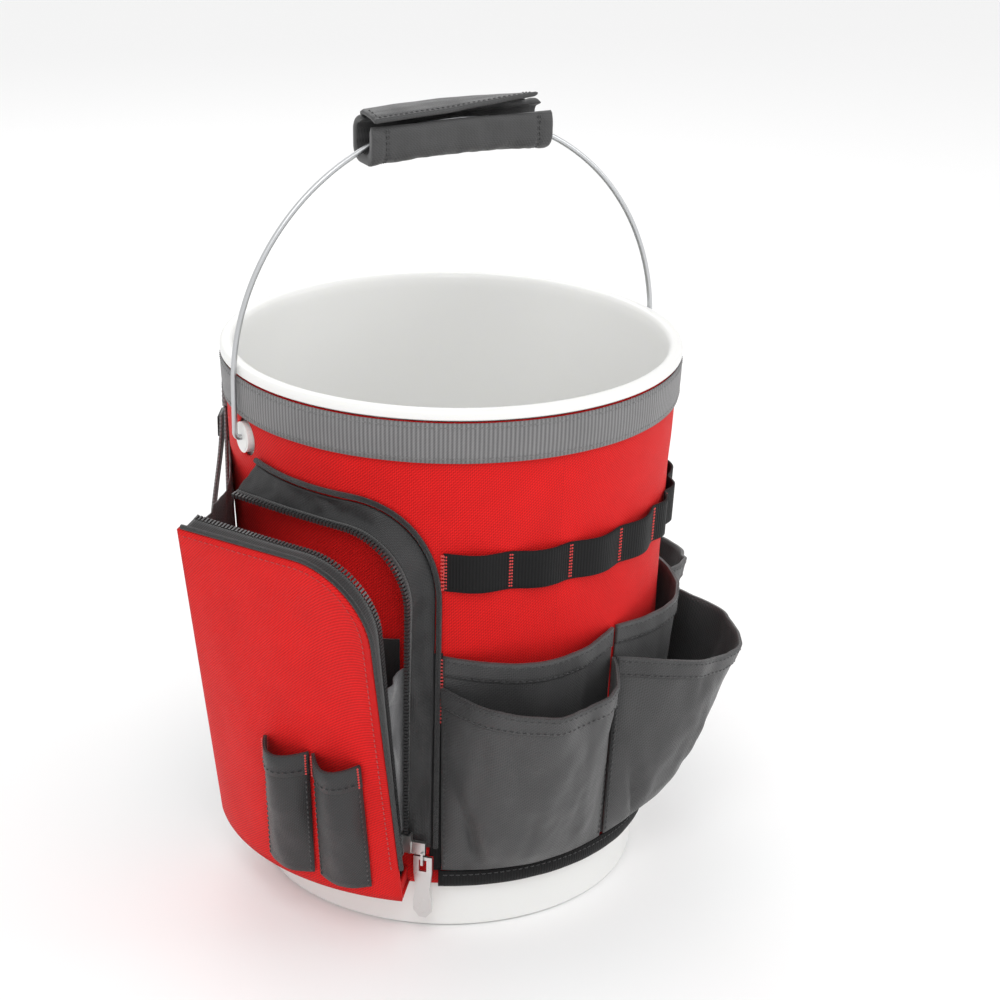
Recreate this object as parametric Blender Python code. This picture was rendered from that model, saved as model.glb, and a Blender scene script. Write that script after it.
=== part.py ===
"""Tool bucket organizer: a fabric pocket wrap round a white pail that has a wire bail.

Frame: origin at the centre of the pail's foot, +Z up, +X along the bail's hinge axis.
A bearing is an angle about +Z in degrees, from the front (-Y) towards +X.
Lengths are in metres.
"""

import math

import bmesh
import bpy
from mathutils import Matrix, Vector

# Clearance between pieces that touch on the real object.
GAP = 0.0003

# Pail
PAIL_HEIGHT = 0.370
PAIL_FOOT_RADIUS = 0.131
PAIL_NECK_RADIUS = 0.1442
PAIL_WALL = 0.0024
PAIL_FLOOR = 0.0035
PAIL_FOOT_ROUNDING = 0.004
PAIL_SIDES = 48
RIM_HEIGHT = 0.0065
RIM_OVERHANG = 0.0073
RIM_ROUNDING = 0.002
RIB_PROUD = 0.002
RIB_WIDTH = 0.004
RIB_DROPS = (0.022, 0.075)
EAR_DROP = 0.048
EAR_RADIUS = 0.010
EAR_BORE = 0.0046

# Wire bail and its padded grip
WIRE = 0.0036
BAIL_LEG = 0.036
BAIL_RIM_CLEARANCE = 0.001
BAIL_END_BEND = 0.004
BAIL_END_REACH = 0.004
GRIP_LENGTH = 0.128
GRIP_PLAY = 0.0003
GRIP_WALL = 0.0062
GRIP_CORNER = 0.0075
GRIP_MOUTH_DROP = 0.0030
GRIP_TOP_HEM = 0.0030
GRIP_FLAP_WALL = 0.0032
GRIP_FLAP_TILT = 13.0
GRIP_HOOK_WALL = 0.0012
GRIP_HOOK_WIDTH = 0.010
GRIP_HOOK_HEM = 0.0040
GRIP_HOOK_INSET = 0.008

# Red wrap, its top band and its bottom binding
WRAP_BOTTOM = 0.036
WRAP_TOP_DROP = 0.008
WRAP_WALL = 0.0024
WRAP_EAR_HOLE = 0.013
BAND_WIDTH = 0.026
BAND_WALL = 0.0016
BINDING_HEIGHT = 0.011
BINDING_WALL = 0.0045
FACET = 5.0

# Pockets, from the zip pocket round the right side to the back left: seam bearings,
# then the mouth height and the depth of each open pouch.
POUCH_SEAMS = (-30.0, 20.0, 72.0, 120.0, 168.0, 214.0, 245.0)
POUCH_NAMES = ("front", "right", "rear_right", "rear", "rear_left", "left")
POUCH_MOUTHS = (0.184, 0.183, 0.186, 0.184, 0.184, 0.184)
POUCH_DEPTHS = (0.046, 0.057, 0.052, 0.044, 0.044, 0.026)
POUCH_WALL = 0.0018
POUCH_SEAM_GAP = 0.9
POUCH_SWELL = 0.55
POUCH_ROW_BIAS = 1.5
POUCH_ROWS = 7
TALL_ROWS = 6
TALL_MOUTH = 0.205
TALL_DEPTH = 0.013

# Tool webbing
WEBBING_HEIGHT = 0.0255
WEBBING_LOW_EDGE = 0.2505
WEBBING_WALL = 0.0014
WEBBING_SLACK = 0.0040
WEBBING_TACKS = (-29.3, -13.0, 3.0, 19.5, 36.0, 47.0, 58.0, 74.0, 90.0, 106.0, 122.0,
                 138.0, 154.0, 170.0, 186.0, 202.0, 218.0, 231.0)
WEBBING_STEPS = 6
WEBBING_BULGE = 1.5

# Zip pocket: the flap is a ruled panel from a foot that follows the pail to a straight top
FLAP_BEARING = -61.0
FLAP_LEFT = -104.0
FLAP_RIGHT = -38.0
FLAP_FOOT = 0.036
FLAP_TOP_DROP = 0.084
FLAP_FOOT_STAND = 0.025
FLAP_TOP_STAND = 0.0595
FLAP_TOP_LEFT = -0.0655
FLAP_TOP_RIGHT = 0.072
FLAP_CORNER = 0.050
FLAP_WALL = 0.003
FLAP_COLUMNS = 9
FLAP_ROWS = 7
CORNER_STEPS = 6
FLAP_CLOSE = 7.0
HINGE_STAND = 0.020
HINGE_HEIGHT = 0.038
PIPING = 0.0032
ZIP_START = 0.105
ZIP_RUNS = 14
ZIP_TAPE = 0.010
ZIP_TAPE_WALL = 0.0013
TOOTH = 0.0030
TOOTH_PITCH = 0.0060
TOOTH_ROOT = 0.6
CHAIN_GAP = 0.0026
BODY_TAPE = 0.0030
GUSSET_WALL = 0.0014
GUSSET_SPREAD = 0.0135
GUSSET_PIPING = 0.0036
FLOOR_WALL = 0.003
END_PANEL_WALL = 0.002
END_PANEL_HEIGHT = 0.012
BELLOWS_BEARING = -111.0
BELLOWS_TOP = 0.300
BELLOWS_PLEAT = 0.014
BELLOWS_SHARE = 0.02
BELLOWS_END = 0.98
LINING_SHARE = 0.955
LINING_FIRST = 3
LINING_LAST = 9
LINING_TOP = 0.195
LINING_PLEAT = 0.004
SOFT_WALL = 0.0012
SOFT_BEND = 0.4
INNER_POCKET_LEFT = -100.0
INNER_POCKET_RIGHT = -41.0
INNER_POCKET_MOUTH = 0.215
INNER_POCKET_DEPTH = 0.008
SLEEVES = (("pen_sleeve_left", 0.46, 0.67), ("pen_sleeve_right", 0.70, 0.895))
SLEEVE_FOOT = 0.045
SLEEVE_MOUTH = 0.44
SLEEVE_DEPTH = 0.013
SLEEVE_FOOT_SWELL = 0.45
SLEEVE_WALL = 0.0016

# Zip slider and pull
SLIDER_LENGTH = 0.014
SLIDER_PLATE = 0.0013
SLIDER_PLAY = 0.0011
SLIDER_WEB = 0.0011
SLIDER_SHARE = 0.4
FACE_HEIGHT = 0.0085
FACE_WALL = 0.0030
FACE_REACH = 0.0134
TONGUE_WALL = 0.0016
TONGUE_WIDTH = 0.0064
EYE = 0.0034
PULL_LENGTH = 0.044
PULL_WIDTH = 0.0125
PULL_WAIST = 0.0095
PULL_WALL = 0.0018
PULL_BAR = 0.0024
PULL_SLOT_WIDTH = 0.0052
PULL_SLOT_LENGTH = 0.0085
PULL_FLARE = 0.72
TAB_BEARING = -33.7
TAB_WIDTH = 0.0115
TAB_HEIGHT = 0.018
TAB_WALL = 0.0014

# Tape strap at the left
STRAP_BEARING = 239.0
STRAP_WIDTH = 0.019
STRAP_WALL = 0.0015
STRAP_TOP_DROP = 0.052
STRAP_LENGTH = 0.108
STRAP_TURN = 0.0062
STRAP_NECK = 0.0030
STRAP_BELLY = 1.7
STRAP_DROP = 0.0006
STRAP_END_DROP = 0.006
ANCHOR_HEIGHT = 0.016
ANCHOR_WALL = 0.0032
CLOSURE_HEIGHT = 0.030
CLOSURE_WALL = 0.0012

# Rear buckle of the top band
BUCKLE_BEARING = 152.0
BUCKLE_HEIGHT = 0.028
BUCKLE_WALL = 0.0095
SOCKET_LENGTH = 0.036
SOCKET_SHELL = 0.0022
PLUG_BASE = 0.026
PLUG_JOIN = 0.002
PRONG_LENGTH = 0.028
PRONG_WIDTH = 0.006
PRONG_WALL = 0.0042
PRONG_SPACING = 0.0075
BUCKLE_SLOT = 0.004
BUCKLE_SLOT_INSET = 0.005
TAIL_SWEEP = 16.0
TAIL_WIDTH = 0.024


def around(bearing, radius, z):
    angle = math.radians(bearing)
    return Vector((radius * math.sin(angle), -radius * math.cos(angle), z))


def outward(bearing):
    return around(bearing, 1.0, 0.0)


def sideways(bearing):
    """Level direction in which the bearing grows."""
    return around(bearing + 90.0, 1.0, 0.0)


def blend(low, high, share):
    return low + (high - low) * share


def steps(count):
    return [i / count for i in range(count + 1)]


UP = Vector((0.0, 0.0, 1.0))
RIM_UNDERSIDE = PAIL_HEIGHT - RIM_HEIGHT
EAR_HEIGHT = PAIL_HEIGHT - EAR_DROP
WRAP_TOP = PAIL_HEIGHT - WRAP_TOP_DROP
BAND_TOP = WRAP_TOP
BAND_BOTTOM = BAND_TOP - BAND_WIDTH
FLAP_TOP = PAIL_HEIGHT - FLAP_TOP_DROP
POUCH_BOTTOM = WRAP_BOTTOM + BINDING_HEIGHT + POUCH_WALL + GAP


def pail_outer(z):
    return blend(PAIL_FOOT_RADIUS, PAIL_NECK_RADIUS, z / RIM_UNDERSIDE)


def wrap_inner(z):
    """The wrap is pulled tight over the pail's ribs, so it leaves the wall towards the top."""
    return pail_outer(z) + GAP + RIB_PROUD * z / (PAIL_HEIGHT - RIB_DROPS[0])


def wrap_outer(z):
    return wrap_inner(z) + WRAP_WALL


def new_material(name, colour, roughness, metallic=0.0):
    made = bpy.data.materials.new(name)
    made.use_nodes = True
    shader = made.node_tree.nodes["Principled BSDF"]
    shader.inputs["Base Color"].default_value = (*colour, 1.0)
    shader.inputs["Roughness"].default_value = roughness
    shader.inputs["Metallic"].default_value = metallic
    return made


def add_object(name, mesh, material, parent=None):
    mesh.materials.append(material)
    made = bpy.data.objects.new(name, mesh)
    bpy.context.scene.collection.objects.link(made)
    if parent:
        made.parent = parent
        made.matrix_parent_inverse = parent.matrix_basis.inverted()
    return made


def add_axis(name, place):
    """Empty on a joint axis, to which the pieces that move there are parented."""
    made = bpy.data.objects.new(name, None)
    made.location = place
    bpy.context.scene.collection.objects.link(made)
    return made


def mesh_from(name, bm):
    bm.normal_update()
    bmesh.ops.recalc_face_normals(bm, faces=bm.faces)
    mesh = bpy.data.meshes.new(name)
    bm.to_mesh(mesh)
    bm.free()
    return mesh


def lofted(name, sections, material, parent=None):
    """Solid through a row of like sections, with its two ends capped."""
    bm = bmesh.new()
    loops = [[bm.verts.new(point) for point in section] for section in sections]
    for first, second in zip(loops, loops[1:]):
        for k in range(len(first)):
            after = (k + 1) % len(first)
            bm.faces.new((first[k], first[after], second[after], second[k]))
    bm.faces.new(loops[0])
    bm.faces.new(loops[-1])
    return add_object(name, mesh_from(name, bm), material, parent)


def panel(name, grid, wall, material, parent=None, side=1.0):
    """Fabric panel: a grid of points, thickened to one side of its face."""
    bm = bmesh.new()
    rows = [[bm.verts.new(point) for point in row] for row in grid]
    for low, high in zip(rows, rows[1:]):
        for k in range(len(low) - 1):
            bm.faces.new((low[k], low[k + 1], high[k + 1], high[k]))
    mesh = bpy.data.meshes.new(name)
    bm.to_mesh(mesh)
    bm.free()
    made = add_object(name, mesh, material, parent)
    thicken = made.modifiers.new("thickness", "SOLIDIFY")
    thicken.thickness = wall
    thicken.offset = side
    return made


def cord(name, points, diameter, material, parent=None):
    """Round cord or wire along a row of points, with closed ends."""
    curve = bpy.data.curves.new(name, "CURVE")
    curve.dimensions = "3D"
    curve.bevel_depth = diameter / 2
    curve.bevel_resolution = 1
    curve.use_fill_caps = True
    line = curve.splines.new("POLY")
    line.points.add(len(points) - 1)
    for held, point in zip(line.points, points):
        held.co = (*point, 1.0)
    return add_object(name, curve, material, parent)


def ring_strip(name, start, end, inner, wall, low, high, material, lift=None):
    """Strip round the pail between two bearings, on the facets that all the layers share."""
    cuts = math.ceil(start / FACET) * FACET
    bearings = [start]
    while cuts < end:
        if cuts > start:
            bearings.append(cuts)
        cuts += FACET
    bearings.append(end)
    sections = []
    for bearing in bearings:
        stand = lift(bearing) if lift else 0.0
        section = [around(bearing, inner(low) + stand, low),
                   around(bearing, inner(low) + wall + stand, low),
                   around(bearing, inner(high) + wall + stand, high),
                   around(bearing, inner(high) + stand, high)]
        sections.append(section)
    return lofted(name, sections, material)


def block(name, centre, axes, sizes, material=None, parent=None):
    """Box with its three side directions given."""
    bm = bmesh.new()
    bmesh.ops.create_cube(bm, size=1.0)
    turn = Matrix((axes[0], axes[1], axes[2])).transposed()
    for vertex in bm.verts:
        local = Vector([vertex.co[k] * sizes[k] for k in range(3)])
        vertex.co = centre + turn @ local
    mesh = mesh_from(name, bm)
    if material:
        return add_object(name, mesh, material, parent)
    made = bpy.data.objects.new(name, mesh)
    bpy.context.scene.collection.objects.link(made)
    return as_tool(made)


def as_tool(made):
    """A shape that only cuts or joins another one."""
    made.hide_render = True
    made.display_type = "WIRE"
    return made


def combine(target, tool, operation):
    step = target.modifiers.new(tool.name, "BOOLEAN")
    step.operation = operation
    step.solver = "EXACT"
    step.object = tool


for left_over in list(bpy.data.objects):
    bpy.data.objects.remove(left_over)

white_plastic = new_material("white_plastic", (0.86, 0.86, 0.84), 0.35)
steel = new_material("galvanised_steel", (0.62, 0.63, 0.64), 0.32, 1.0)
bright_metal = new_material("plated_zinc", (0.72, 0.72, 0.71), 0.25, 1.0)
red_fabric = new_material("red_nylon", (0.72, 0.035, 0.030), 0.75)
grey_fabric = new_material("grey_nylon", (0.060, 0.060, 0.062), 0.8)
black_fabric = new_material("black_nylon", (0.012, 0.012, 0.013), 0.8)
grey_webbing = new_material("grey_webbing", (0.17, 0.17, 0.17), 0.85)
dark_webbing = new_material("dark_webbing", (0.045, 0.045, 0.047), 0.85)
grey_lining = new_material("grey_lining", (0.14, 0.14, 0.145), 0.6)
black_plastic = new_material("black_plastic", (0.02, 0.02, 0.02), 0.45)


# Pail: turned profile, from the middle of the floor up the inside and down the outside
pail_profile = [(0.0, PAIL_FLOOR), (PAIL_FOOT_RADIUS - PAIL_WALL - PAIL_FOOT_ROUNDING, PAIL_FLOOR),
                (PAIL_FOOT_RADIUS - PAIL_WALL, PAIL_FLOOR + PAIL_FOOT_ROUNDING),
                (PAIL_NECK_RADIUS - PAIL_WALL, RIM_UNDERSIDE),
                (PAIL_NECK_RADIUS - PAIL_WALL / 2, PAIL_HEIGHT - RIM_ROUNDING / 2),
                (PAIL_NECK_RADIUS, PAIL_HEIGHT),
                (PAIL_NECK_RADIUS + RIM_OVERHANG - RIM_ROUNDING, PAIL_HEIGHT),
                (PAIL_NECK_RADIUS + RIM_OVERHANG, PAIL_HEIGHT - RIM_ROUNDING),
                (PAIL_NECK_RADIUS + RIM_OVERHANG, RIM_UNDERSIDE),
                (pail_outer(RIM_UNDERSIDE), RIM_UNDERSIDE)]
for drop in RIB_DROPS:
    rib_top = PAIL_HEIGHT - drop
    rib_bottom = rib_top - RIB_WIDTH
    pail_profile += [(pail_outer(rib_top), rib_top), (wrap_inner(rib_top) - 2 * GAP, rib_top),
                     (wrap_inner(rib_bottom) - 2 * GAP, rib_bottom),
                     (pail_outer(rib_bottom), rib_bottom)]
pail_profile += [(PAIL_FOOT_RADIUS, PAIL_FOOT_ROUNDING),
                 (PAIL_FOOT_RADIUS - PAIL_FOOT_ROUNDING, 0.0), (0.0, 0.0)]
pail_mesh = bpy.data.meshes.new("pail")
pail_mesh.from_pydata([(r, 0.0, z) for r, z in pail_profile],
                      [(k, k + 1) for k in range(len(pail_profile) - 1)], [])
pail = add_object("pail", pail_mesh, white_plastic)
turned = pail.modifiers.new("turned", "SCREW")
turned.steps = PAIL_SIDES
turned.render_steps = PAIL_SIDES
turned.use_merge_vertices = True
turned.merge_threshold = 0.00005

# Moulded ears with a blind bore for each end of the wire
BAIL_HALF_SPAN = PAIL_NECK_RADIUS + RIM_OVERHANG + BAIL_RIM_CLEARANCE + WIRE / 2
EAR_FACE = BAIL_HALF_SPAN - BAIL_END_BEND - GAP
EAR_ROOT = pail_outer(EAR_HEIGHT) - PAIL_WALL / 2
for ear_name, ear_side in (("ear_right", 1.0), ("ear_left", -1.0)):
    for shape, radius, inside, outside, operation in (
            ("boss", EAR_RADIUS, EAR_ROOT, EAR_FACE, "UNION"),
            ("bore", EAR_BORE / 2, EAR_ROOT + PAIL_WALL, EAR_FACE + PAIL_WALL, "DIFFERENCE")):
        bm = bmesh.new()
        bmesh.ops.create_cone(bm, cap_ends=True, segments=16, radius1=radius, radius2=radius,
                              depth=outside - inside)
        middle = Vector((ear_side * (inside + outside) / 2, 0.0, EAR_HEIGHT))
        lay_down = Matrix.Rotation(math.radians(90.0), 4, "Y")
        bmesh.ops.transform(bm, matrix=Matrix.Translation(middle) @ lay_down, verts=bm.verts)
        tool_name = ear_name + "_" + shape
        tool = bpy.data.objects.new(tool_name, mesh_from(tool_name, bm))
        bpy.context.scene.collection.objects.link(tool)
        combine(pail, as_tool(tool), operation)


# Bail: straight legs under a half circle, with its ends turned in through the ears
bail_axis = add_axis("bail_axis", Vector((0.0, 0.0, EAR_HEIGHT)))
bend_start = BAIL_HALF_SPAN - BAIL_END_BEND
half_wire = [Vector((bend_start - BAIL_END_REACH, 0.0, EAR_HEIGHT))]
for share in steps(3):
    turn = math.radians(90.0 * share)
    half_wire.append(Vector((bend_start + BAIL_END_BEND * math.sin(turn), 0.0,
                             EAR_HEIGHT + BAIL_END_BEND * (1.0 - math.cos(turn)))))
BAIL_CENTRE = EAR_HEIGHT + BAIL_LEG
for share in steps(14):
    turn = math.radians(90.0 * share)
    half_wire.append(Vector((BAIL_HALF_SPAN * math.cos(turn), 0.0,
                             BAIL_CENTRE + BAIL_HALF_SPAN * math.sin(turn))))
other_half = [Vector((-point.x, point.y, point.z)) for point in reversed(half_wire[:-1])]
cord("bail_wire", half_wire + other_half, WIRE, steel, bail_axis)

# Grip: a padded sleeve that is open along the top, closed by a flap from its back edge.
# Its clear room is wide enough for it to turn about the bowed wire.
wire_bow = BAIL_HALF_SPAN - math.sqrt(BAIL_HALF_SPAN ** 2 - (GRIP_LENGTH / 2) ** 2)
GRIP_HEIGHT = BAIL_CENTRE + BAIL_HALF_SPAN - wire_bow / 2
grip_axis = add_axis("grip_axis", Vector((0.0, 0.0, GRIP_HEIGHT)))
grip_room = wire_bow + WIRE + 2 * GRIP_PLAY
half_wide = (grip_room + GRIP_WALL) / 2
half_tall = half_wide
grip_line = [(-half_wide, half_tall - GRIP_MOUTH_DROP)]
for corner_y, corner_turn in ((-1.0, 180.0), (1.0, 270.0)):
    for share in steps(3):
        turn = math.radians(corner_turn + 90.0 * share)
        grip_line.append((corner_y * (half_wide - GRIP_CORNER) + GRIP_CORNER * math.cos(turn),
                          GRIP_CORNER - half_tall + GRIP_CORNER * math.sin(turn)))
for share in steps(3):
    turn = math.radians(90.0 * share)
    grip_line.append((half_wide - GRIP_CORNER + GRIP_CORNER * math.cos(turn),
                      half_tall - GRIP_CORNER + GRIP_CORNER * math.sin(turn)))
grip_line.append((half_wide - GRIP_CORNER - GRIP_TOP_HEM, half_tall))


def thick_outline(line, wall):
    """Outline of a strip that follows a line, half its thickness on each side."""
    left, right = [], []
    for k, point in enumerate(line):
        before = Vector(line[max(k - 1, 0)])
        after = Vector(line[min(k + 1, len(line) - 1)])
        along = (after - before).normalized()
        across = Vector((-along.y, along.x)) * wall / 2
        left.append(Vector(point) + across)
        right.append(Vector(point) - across)
    return left + right[::-1]


def grip_section(outline, x):
    return [Vector((x, p.x, GRIP_HEIGHT + p.y)) for p in outline]


sleeve_outline = thick_outline(grip_line, GRIP_WALL)
lofted("grip_sleeve", [grip_section(sleeve_outline, side * GRIP_LENGTH / 2) for side in (-1, 1)],
       grey_fabric, grip_axis)
flap_root = Vector((half_wide - GRIP_CORNER, half_tall + GRIP_WALL / 2 + GAP + GRIP_FLAP_WALL / 2))
grip_flap_axis = add_axis("grip_flap_axis",
                          Vector((0.0, flap_root.x, GRIP_HEIGHT + flap_root.y)))
tilt = math.radians(180.0 - GRIP_FLAP_TILT)
flap_run = Vector((math.cos(tilt), math.sin(tilt)))
flap_reach = flap_root.x + half_wide + GRIP_WALL / 2
flap_line = [flap_root, flap_root + flap_run * flap_reach / 2, flap_root + flap_run * flap_reach]
flap_outline = thick_outline(flap_line, GRIP_FLAP_WALL)
lofted("grip_flap", [grip_section(flap_outline, side * GRIP_LENGTH / 2) for side in (-1, 1)],
       grey_fabric, grip_flap_axis)
hook_down = Vector((-flap_run.y, flap_run.x)) * ((GRIP_FLAP_WALL + GRIP_HOOK_WALL) / 2 + GAP)
hook_start = flap_root + flap_run * (flap_reach - GRIP_HOOK_WIDTH - GRIP_HOOK_HEM) + hook_down
hook_line = [hook_start, hook_start + flap_run * GRIP_HOOK_WIDTH]
hook_half = GRIP_LENGTH / 2 - GRIP_HOOK_INSET
lofted("grip_hook_tape",
       [grip_section(thick_outline(hook_line, GRIP_HOOK_WALL), side * hook_half)
        for side in (-1, 1)], black_fabric, grip_flap_axis)


# Red wrap with an opening round each ear, its top band and its bottom binding
wrap_sections = []
wrap_cuts = int(360 / FACET)
wrap_bm = bmesh.new()
for k in range(wrap_cuts):
    bearing = k * FACET
    wrap_sections.append([wrap_bm.verts.new(around(bearing, radius(z), z)) for radius, z in (
        (wrap_inner, WRAP_BOTTOM), (wrap_outer, WRAP_BOTTOM),
        (wrap_outer, WRAP_TOP), (wrap_inner, WRAP_TOP))])
for first, second in zip(wrap_sections, wrap_sections[1:] + wrap_sections[:1]):
    for k in range(4):
        wrap_bm.faces.new((first[k], first[(k + 1) % 4], second[(k + 1) % 4], second[k]))
wrap = add_object("wrap_panel", mesh_from("wrap_panel", wrap_bm), red_fabric)
hole_bm = bmesh.new()
bmesh.ops.create_cone(hole_bm, cap_ends=True, segments=20, radius1=WRAP_EAR_HOLE,
                      radius2=WRAP_EAR_HOLE, depth=3 * PAIL_NECK_RADIUS)
bmesh.ops.transform(hole_bm, verts=hole_bm.verts,
                    matrix=Matrix.Translation((0.0, 0.0, EAR_HEIGHT))
                    @ Matrix.Rotation(math.radians(90.0), 4, "Y"))
ear_holes = bpy.data.objects.new("ear_holes", mesh_from("ear_holes", hole_bm))
bpy.context.scene.collection.objects.link(ear_holes)
combine(wrap, as_tool(ear_holes), "DIFFERENCE")


def on_wrap(z):
    return wrap_outer(z) + GAP


buckle_height_at = (BAND_TOP + BAND_BOTTOM) / 2
BUCKLE_FACE = on_wrap(BAND_TOP)
band_free = math.degrees(math.atan2(SOCKET_LENGTH + GAP, BUCKLE_FACE))
band_bar = math.hypot(SOCKET_LENGTH + GAP, BUCKLE_FACE) - BUCKLE_FACE


def band_lift(bearing):
    """The band's sewn end leaves the wrap to meet the end bar of the buckle's socket."""
    turned_from = (bearing - BUCKLE_BEARING) % 360.0
    return band_bar * max(0.0, 1.0 - (turned_from - band_free) / (2 * FACET))


ring_strip("top_band", BUCKLE_BEARING + band_free - 360.0, BUCKLE_BEARING - band_free,
           on_wrap, BAND_WALL, BAND_BOTTOM, BAND_TOP, grey_webbing, band_lift)
ring_strip("hem_binding", POUCH_SEAMS[0], POUCH_SEAMS[-1], on_wrap, BINDING_WALL,
           WRAP_BOTTOM, WRAP_BOTTOM + BINDING_HEIGHT, dark_webbing)


# Pockets: a tall flat pocket against the wrap and an open pouch in front of it, six times
def pouch_grid(start, end, low, high, depth, seat, columns, rows):
    grid = []
    for row in range(rows + 1):
        rise = (row / rows) ** POUCH_ROW_BIAS
        z = blend(low, high, rise)
        line = []
        for share in steps(columns):
            swell = depth * math.sin(math.pi * share) * rise ** POUCH_SWELL
            line.append(around(blend(start, end, share), wrap_outer(z) + seat + swell, z))
        grid.append(line)
    return grid


TALL_SEAT = 2 * GAP
POUCH_SEAT = TALL_SEAT + POUCH_WALL + 2 * GAP
for k, name in enumerate(POUCH_NAMES):
    start = POUCH_SEAMS[k] + POUCH_SEAM_GAP
    end = POUCH_SEAMS[k + 1] - POUCH_SEAM_GAP
    columns = max(8, 2 * round((end - start) / (2 * FACET)))
    panel("tall_pocket_" + name,
          pouch_grid(start, end, POUCH_BOTTOM, TALL_MOUTH, TALL_DEPTH, TALL_SEAT, columns,
                     TALL_ROWS),
          POUCH_WALL, grey_fabric)
    panel("pouch_" + name,
          pouch_grid(start, end, POUCH_BOTTOM, POUCH_MOUTHS[k], POUCH_DEPTHS[k], POUCH_SEAT,
                     columns, POUCH_ROWS), POUCH_WALL, grey_fabric)


# Tool webbing: one strip tacked down at intervals, slack between the tacks
WEBBING_TOP = WEBBING_LOW_EDGE + WEBBING_HEIGHT
webbing_sections = []
for start, end in zip(WEBBING_TACKS, WEBBING_TACKS[1:]):
    last = end == WEBBING_TACKS[-1]
    for step in range(WEBBING_STEPS + last):
        share = step / WEBBING_STEPS
        stand = 2 * GAP + WEBBING_SLACK * math.sin(math.pi * share) ** WEBBING_BULGE
        bearing = blend(start, end, share)
        webbing_sections.append(
            [around(bearing, wrap_outer(z) + stand + wall, z)
             for z, wall in ((WEBBING_LOW_EDGE, 0.0), (WEBBING_LOW_EDGE, WEBBING_WALL),
                             (WEBBING_TOP, WEBBING_WALL), (WEBBING_TOP, 0.0))])
lofted("tool_webbing", webbing_sections, dark_webbing)


# Zip pocket flap: a ruled panel, u from its left edge to its right one, v from foot to top
FLAP_FOOT_RADIUS = wrap_outer(FLAP_FOOT) + FLAP_FOOT_STAND
FLAP_TOP_REACH = wrap_outer(FLAP_TOP) + FLAP_TOP_STAND
flap_out = outward(FLAP_BEARING)
flap_side = sideways(FLAP_BEARING)
HINGE = flap_out * (wrap_outer(HINGE_HEIGHT) + HINGE_STAND) + UP * HINGE_HEIGHT
flap_axis = add_axis("flap_axis", HINGE)


def flap_point(u, v):
    foot = around(blend(FLAP_LEFT, FLAP_RIGHT, u), FLAP_FOOT_RADIUS, FLAP_FOOT)
    top = flap_out * FLAP_TOP_REACH + flap_side * blend(FLAP_TOP_LEFT, FLAP_TOP_RIGHT, u)
    return foot.lerp(top + UP * FLAP_TOP, v)


def flap_normal(u, v):
    step = 0.01
    along = flap_point(u + step, v) - flap_point(u - step, v)
    rise = flap_point(u, v + step) - flap_point(u, v - step)
    return along.cross(rise).normalized()


FLAP_TOP_WIDTH = FLAP_TOP_RIGHT - FLAP_TOP_LEFT
FLAP_SLANT = (flap_point(1.0, 1.0) - flap_point(1.0, 0.0)).length


def flap_crest(u):
    """Height share at which the rounded top right corner ends the panel."""
    run = FLAP_CORNER - (1.0 - u) * FLAP_TOP_WIDTH
    if run <= 0.0:
        return 1.0
    return 1.0 - (FLAP_CORNER - math.sqrt(max(FLAP_CORNER ** 2 - run ** 2, 0.0))) / FLAP_SLANT


corner_start = 1.0 - FLAP_CORNER / FLAP_TOP_WIDTH
flap_columns = [corner_start * share for share in steps(FLAP_COLUMNS)]
flap_columns += [blend(corner_start, 1.0, math.sin(math.radians(90.0 * share)))
                 for share in steps(CORNER_STEPS)[1:]]
flap_grid = [[flap_point(u, flap_crest(u) * share) for u in flap_columns]
             for share in steps(FLAP_ROWS)]
panel("flap_panel", flap_grid, FLAP_WALL, red_fabric, flap_axis, -1.0)

# Zip line along the flap's right edge, round its corner and along its top, in (u, v)
edge_end = flap_crest(1.0)
zip_line = [(1.0, blend(ZIP_START, edge_end, share)) for share in steps(ZIP_RUNS)]
zip_line += [(u, flap_crest(u)) for u in reversed(flap_columns[1:-1])]


def zip_frame(k):
    """Edge point of the panel, its outward normal and the direction off the panel's edge."""
    place = flap_point(*zip_line[k])
    before = flap_point(*zip_line[max(k - 1, 0)])
    after = flap_point(*zip_line[min(k + 1, len(zip_line) - 1)])
    normal = flap_normal(*zip_line[k])
    return place, normal, (after - before).normalized().cross(normal).normalized()


zip_frames = [zip_frame(k) for k in range(len(zip_line))]
shut = (Matrix.Translation(HINGE)
        @ Matrix.Rotation(math.radians(-FLAP_CLOSE), 4, flap_side)
        @ Matrix.Translation(-HINGE))


def zip_point(frame, depth, side):
    """Place at a depth behind the flap's face, a little off the edge of the panel."""
    place, normal, off = frame
    return place - normal * depth + off * side


def zip_section(frame, near, far, low, high):
    return [zip_point(frame, near, low), zip_point(frame, near, high),
            zip_point(frame, far, high), zip_point(frame, far, low)]


def between(first, second, share):
    return tuple(one.lerp(two, share) for one, two in zip(first, second))


def tooth_frames():
    """Frames along the zip line, two for each tooth."""
    lengths = [(b[0] - a[0]).length for a, b in zip(zip_frames, zip_frames[1:])]
    count = int(sum(lengths) / TOOTH_PITCH)
    found = []
    for k in range(4 * count):
        distance = sum(lengths) * k / (4 * count)
        piece = 0
        while distance > lengths[piece]:
            distance -= lengths[piece]
            piece += 1
        found.append(between(zip_frames[piece], zip_frames[piece + 1], distance / lengths[piece]))
    return found


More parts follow.
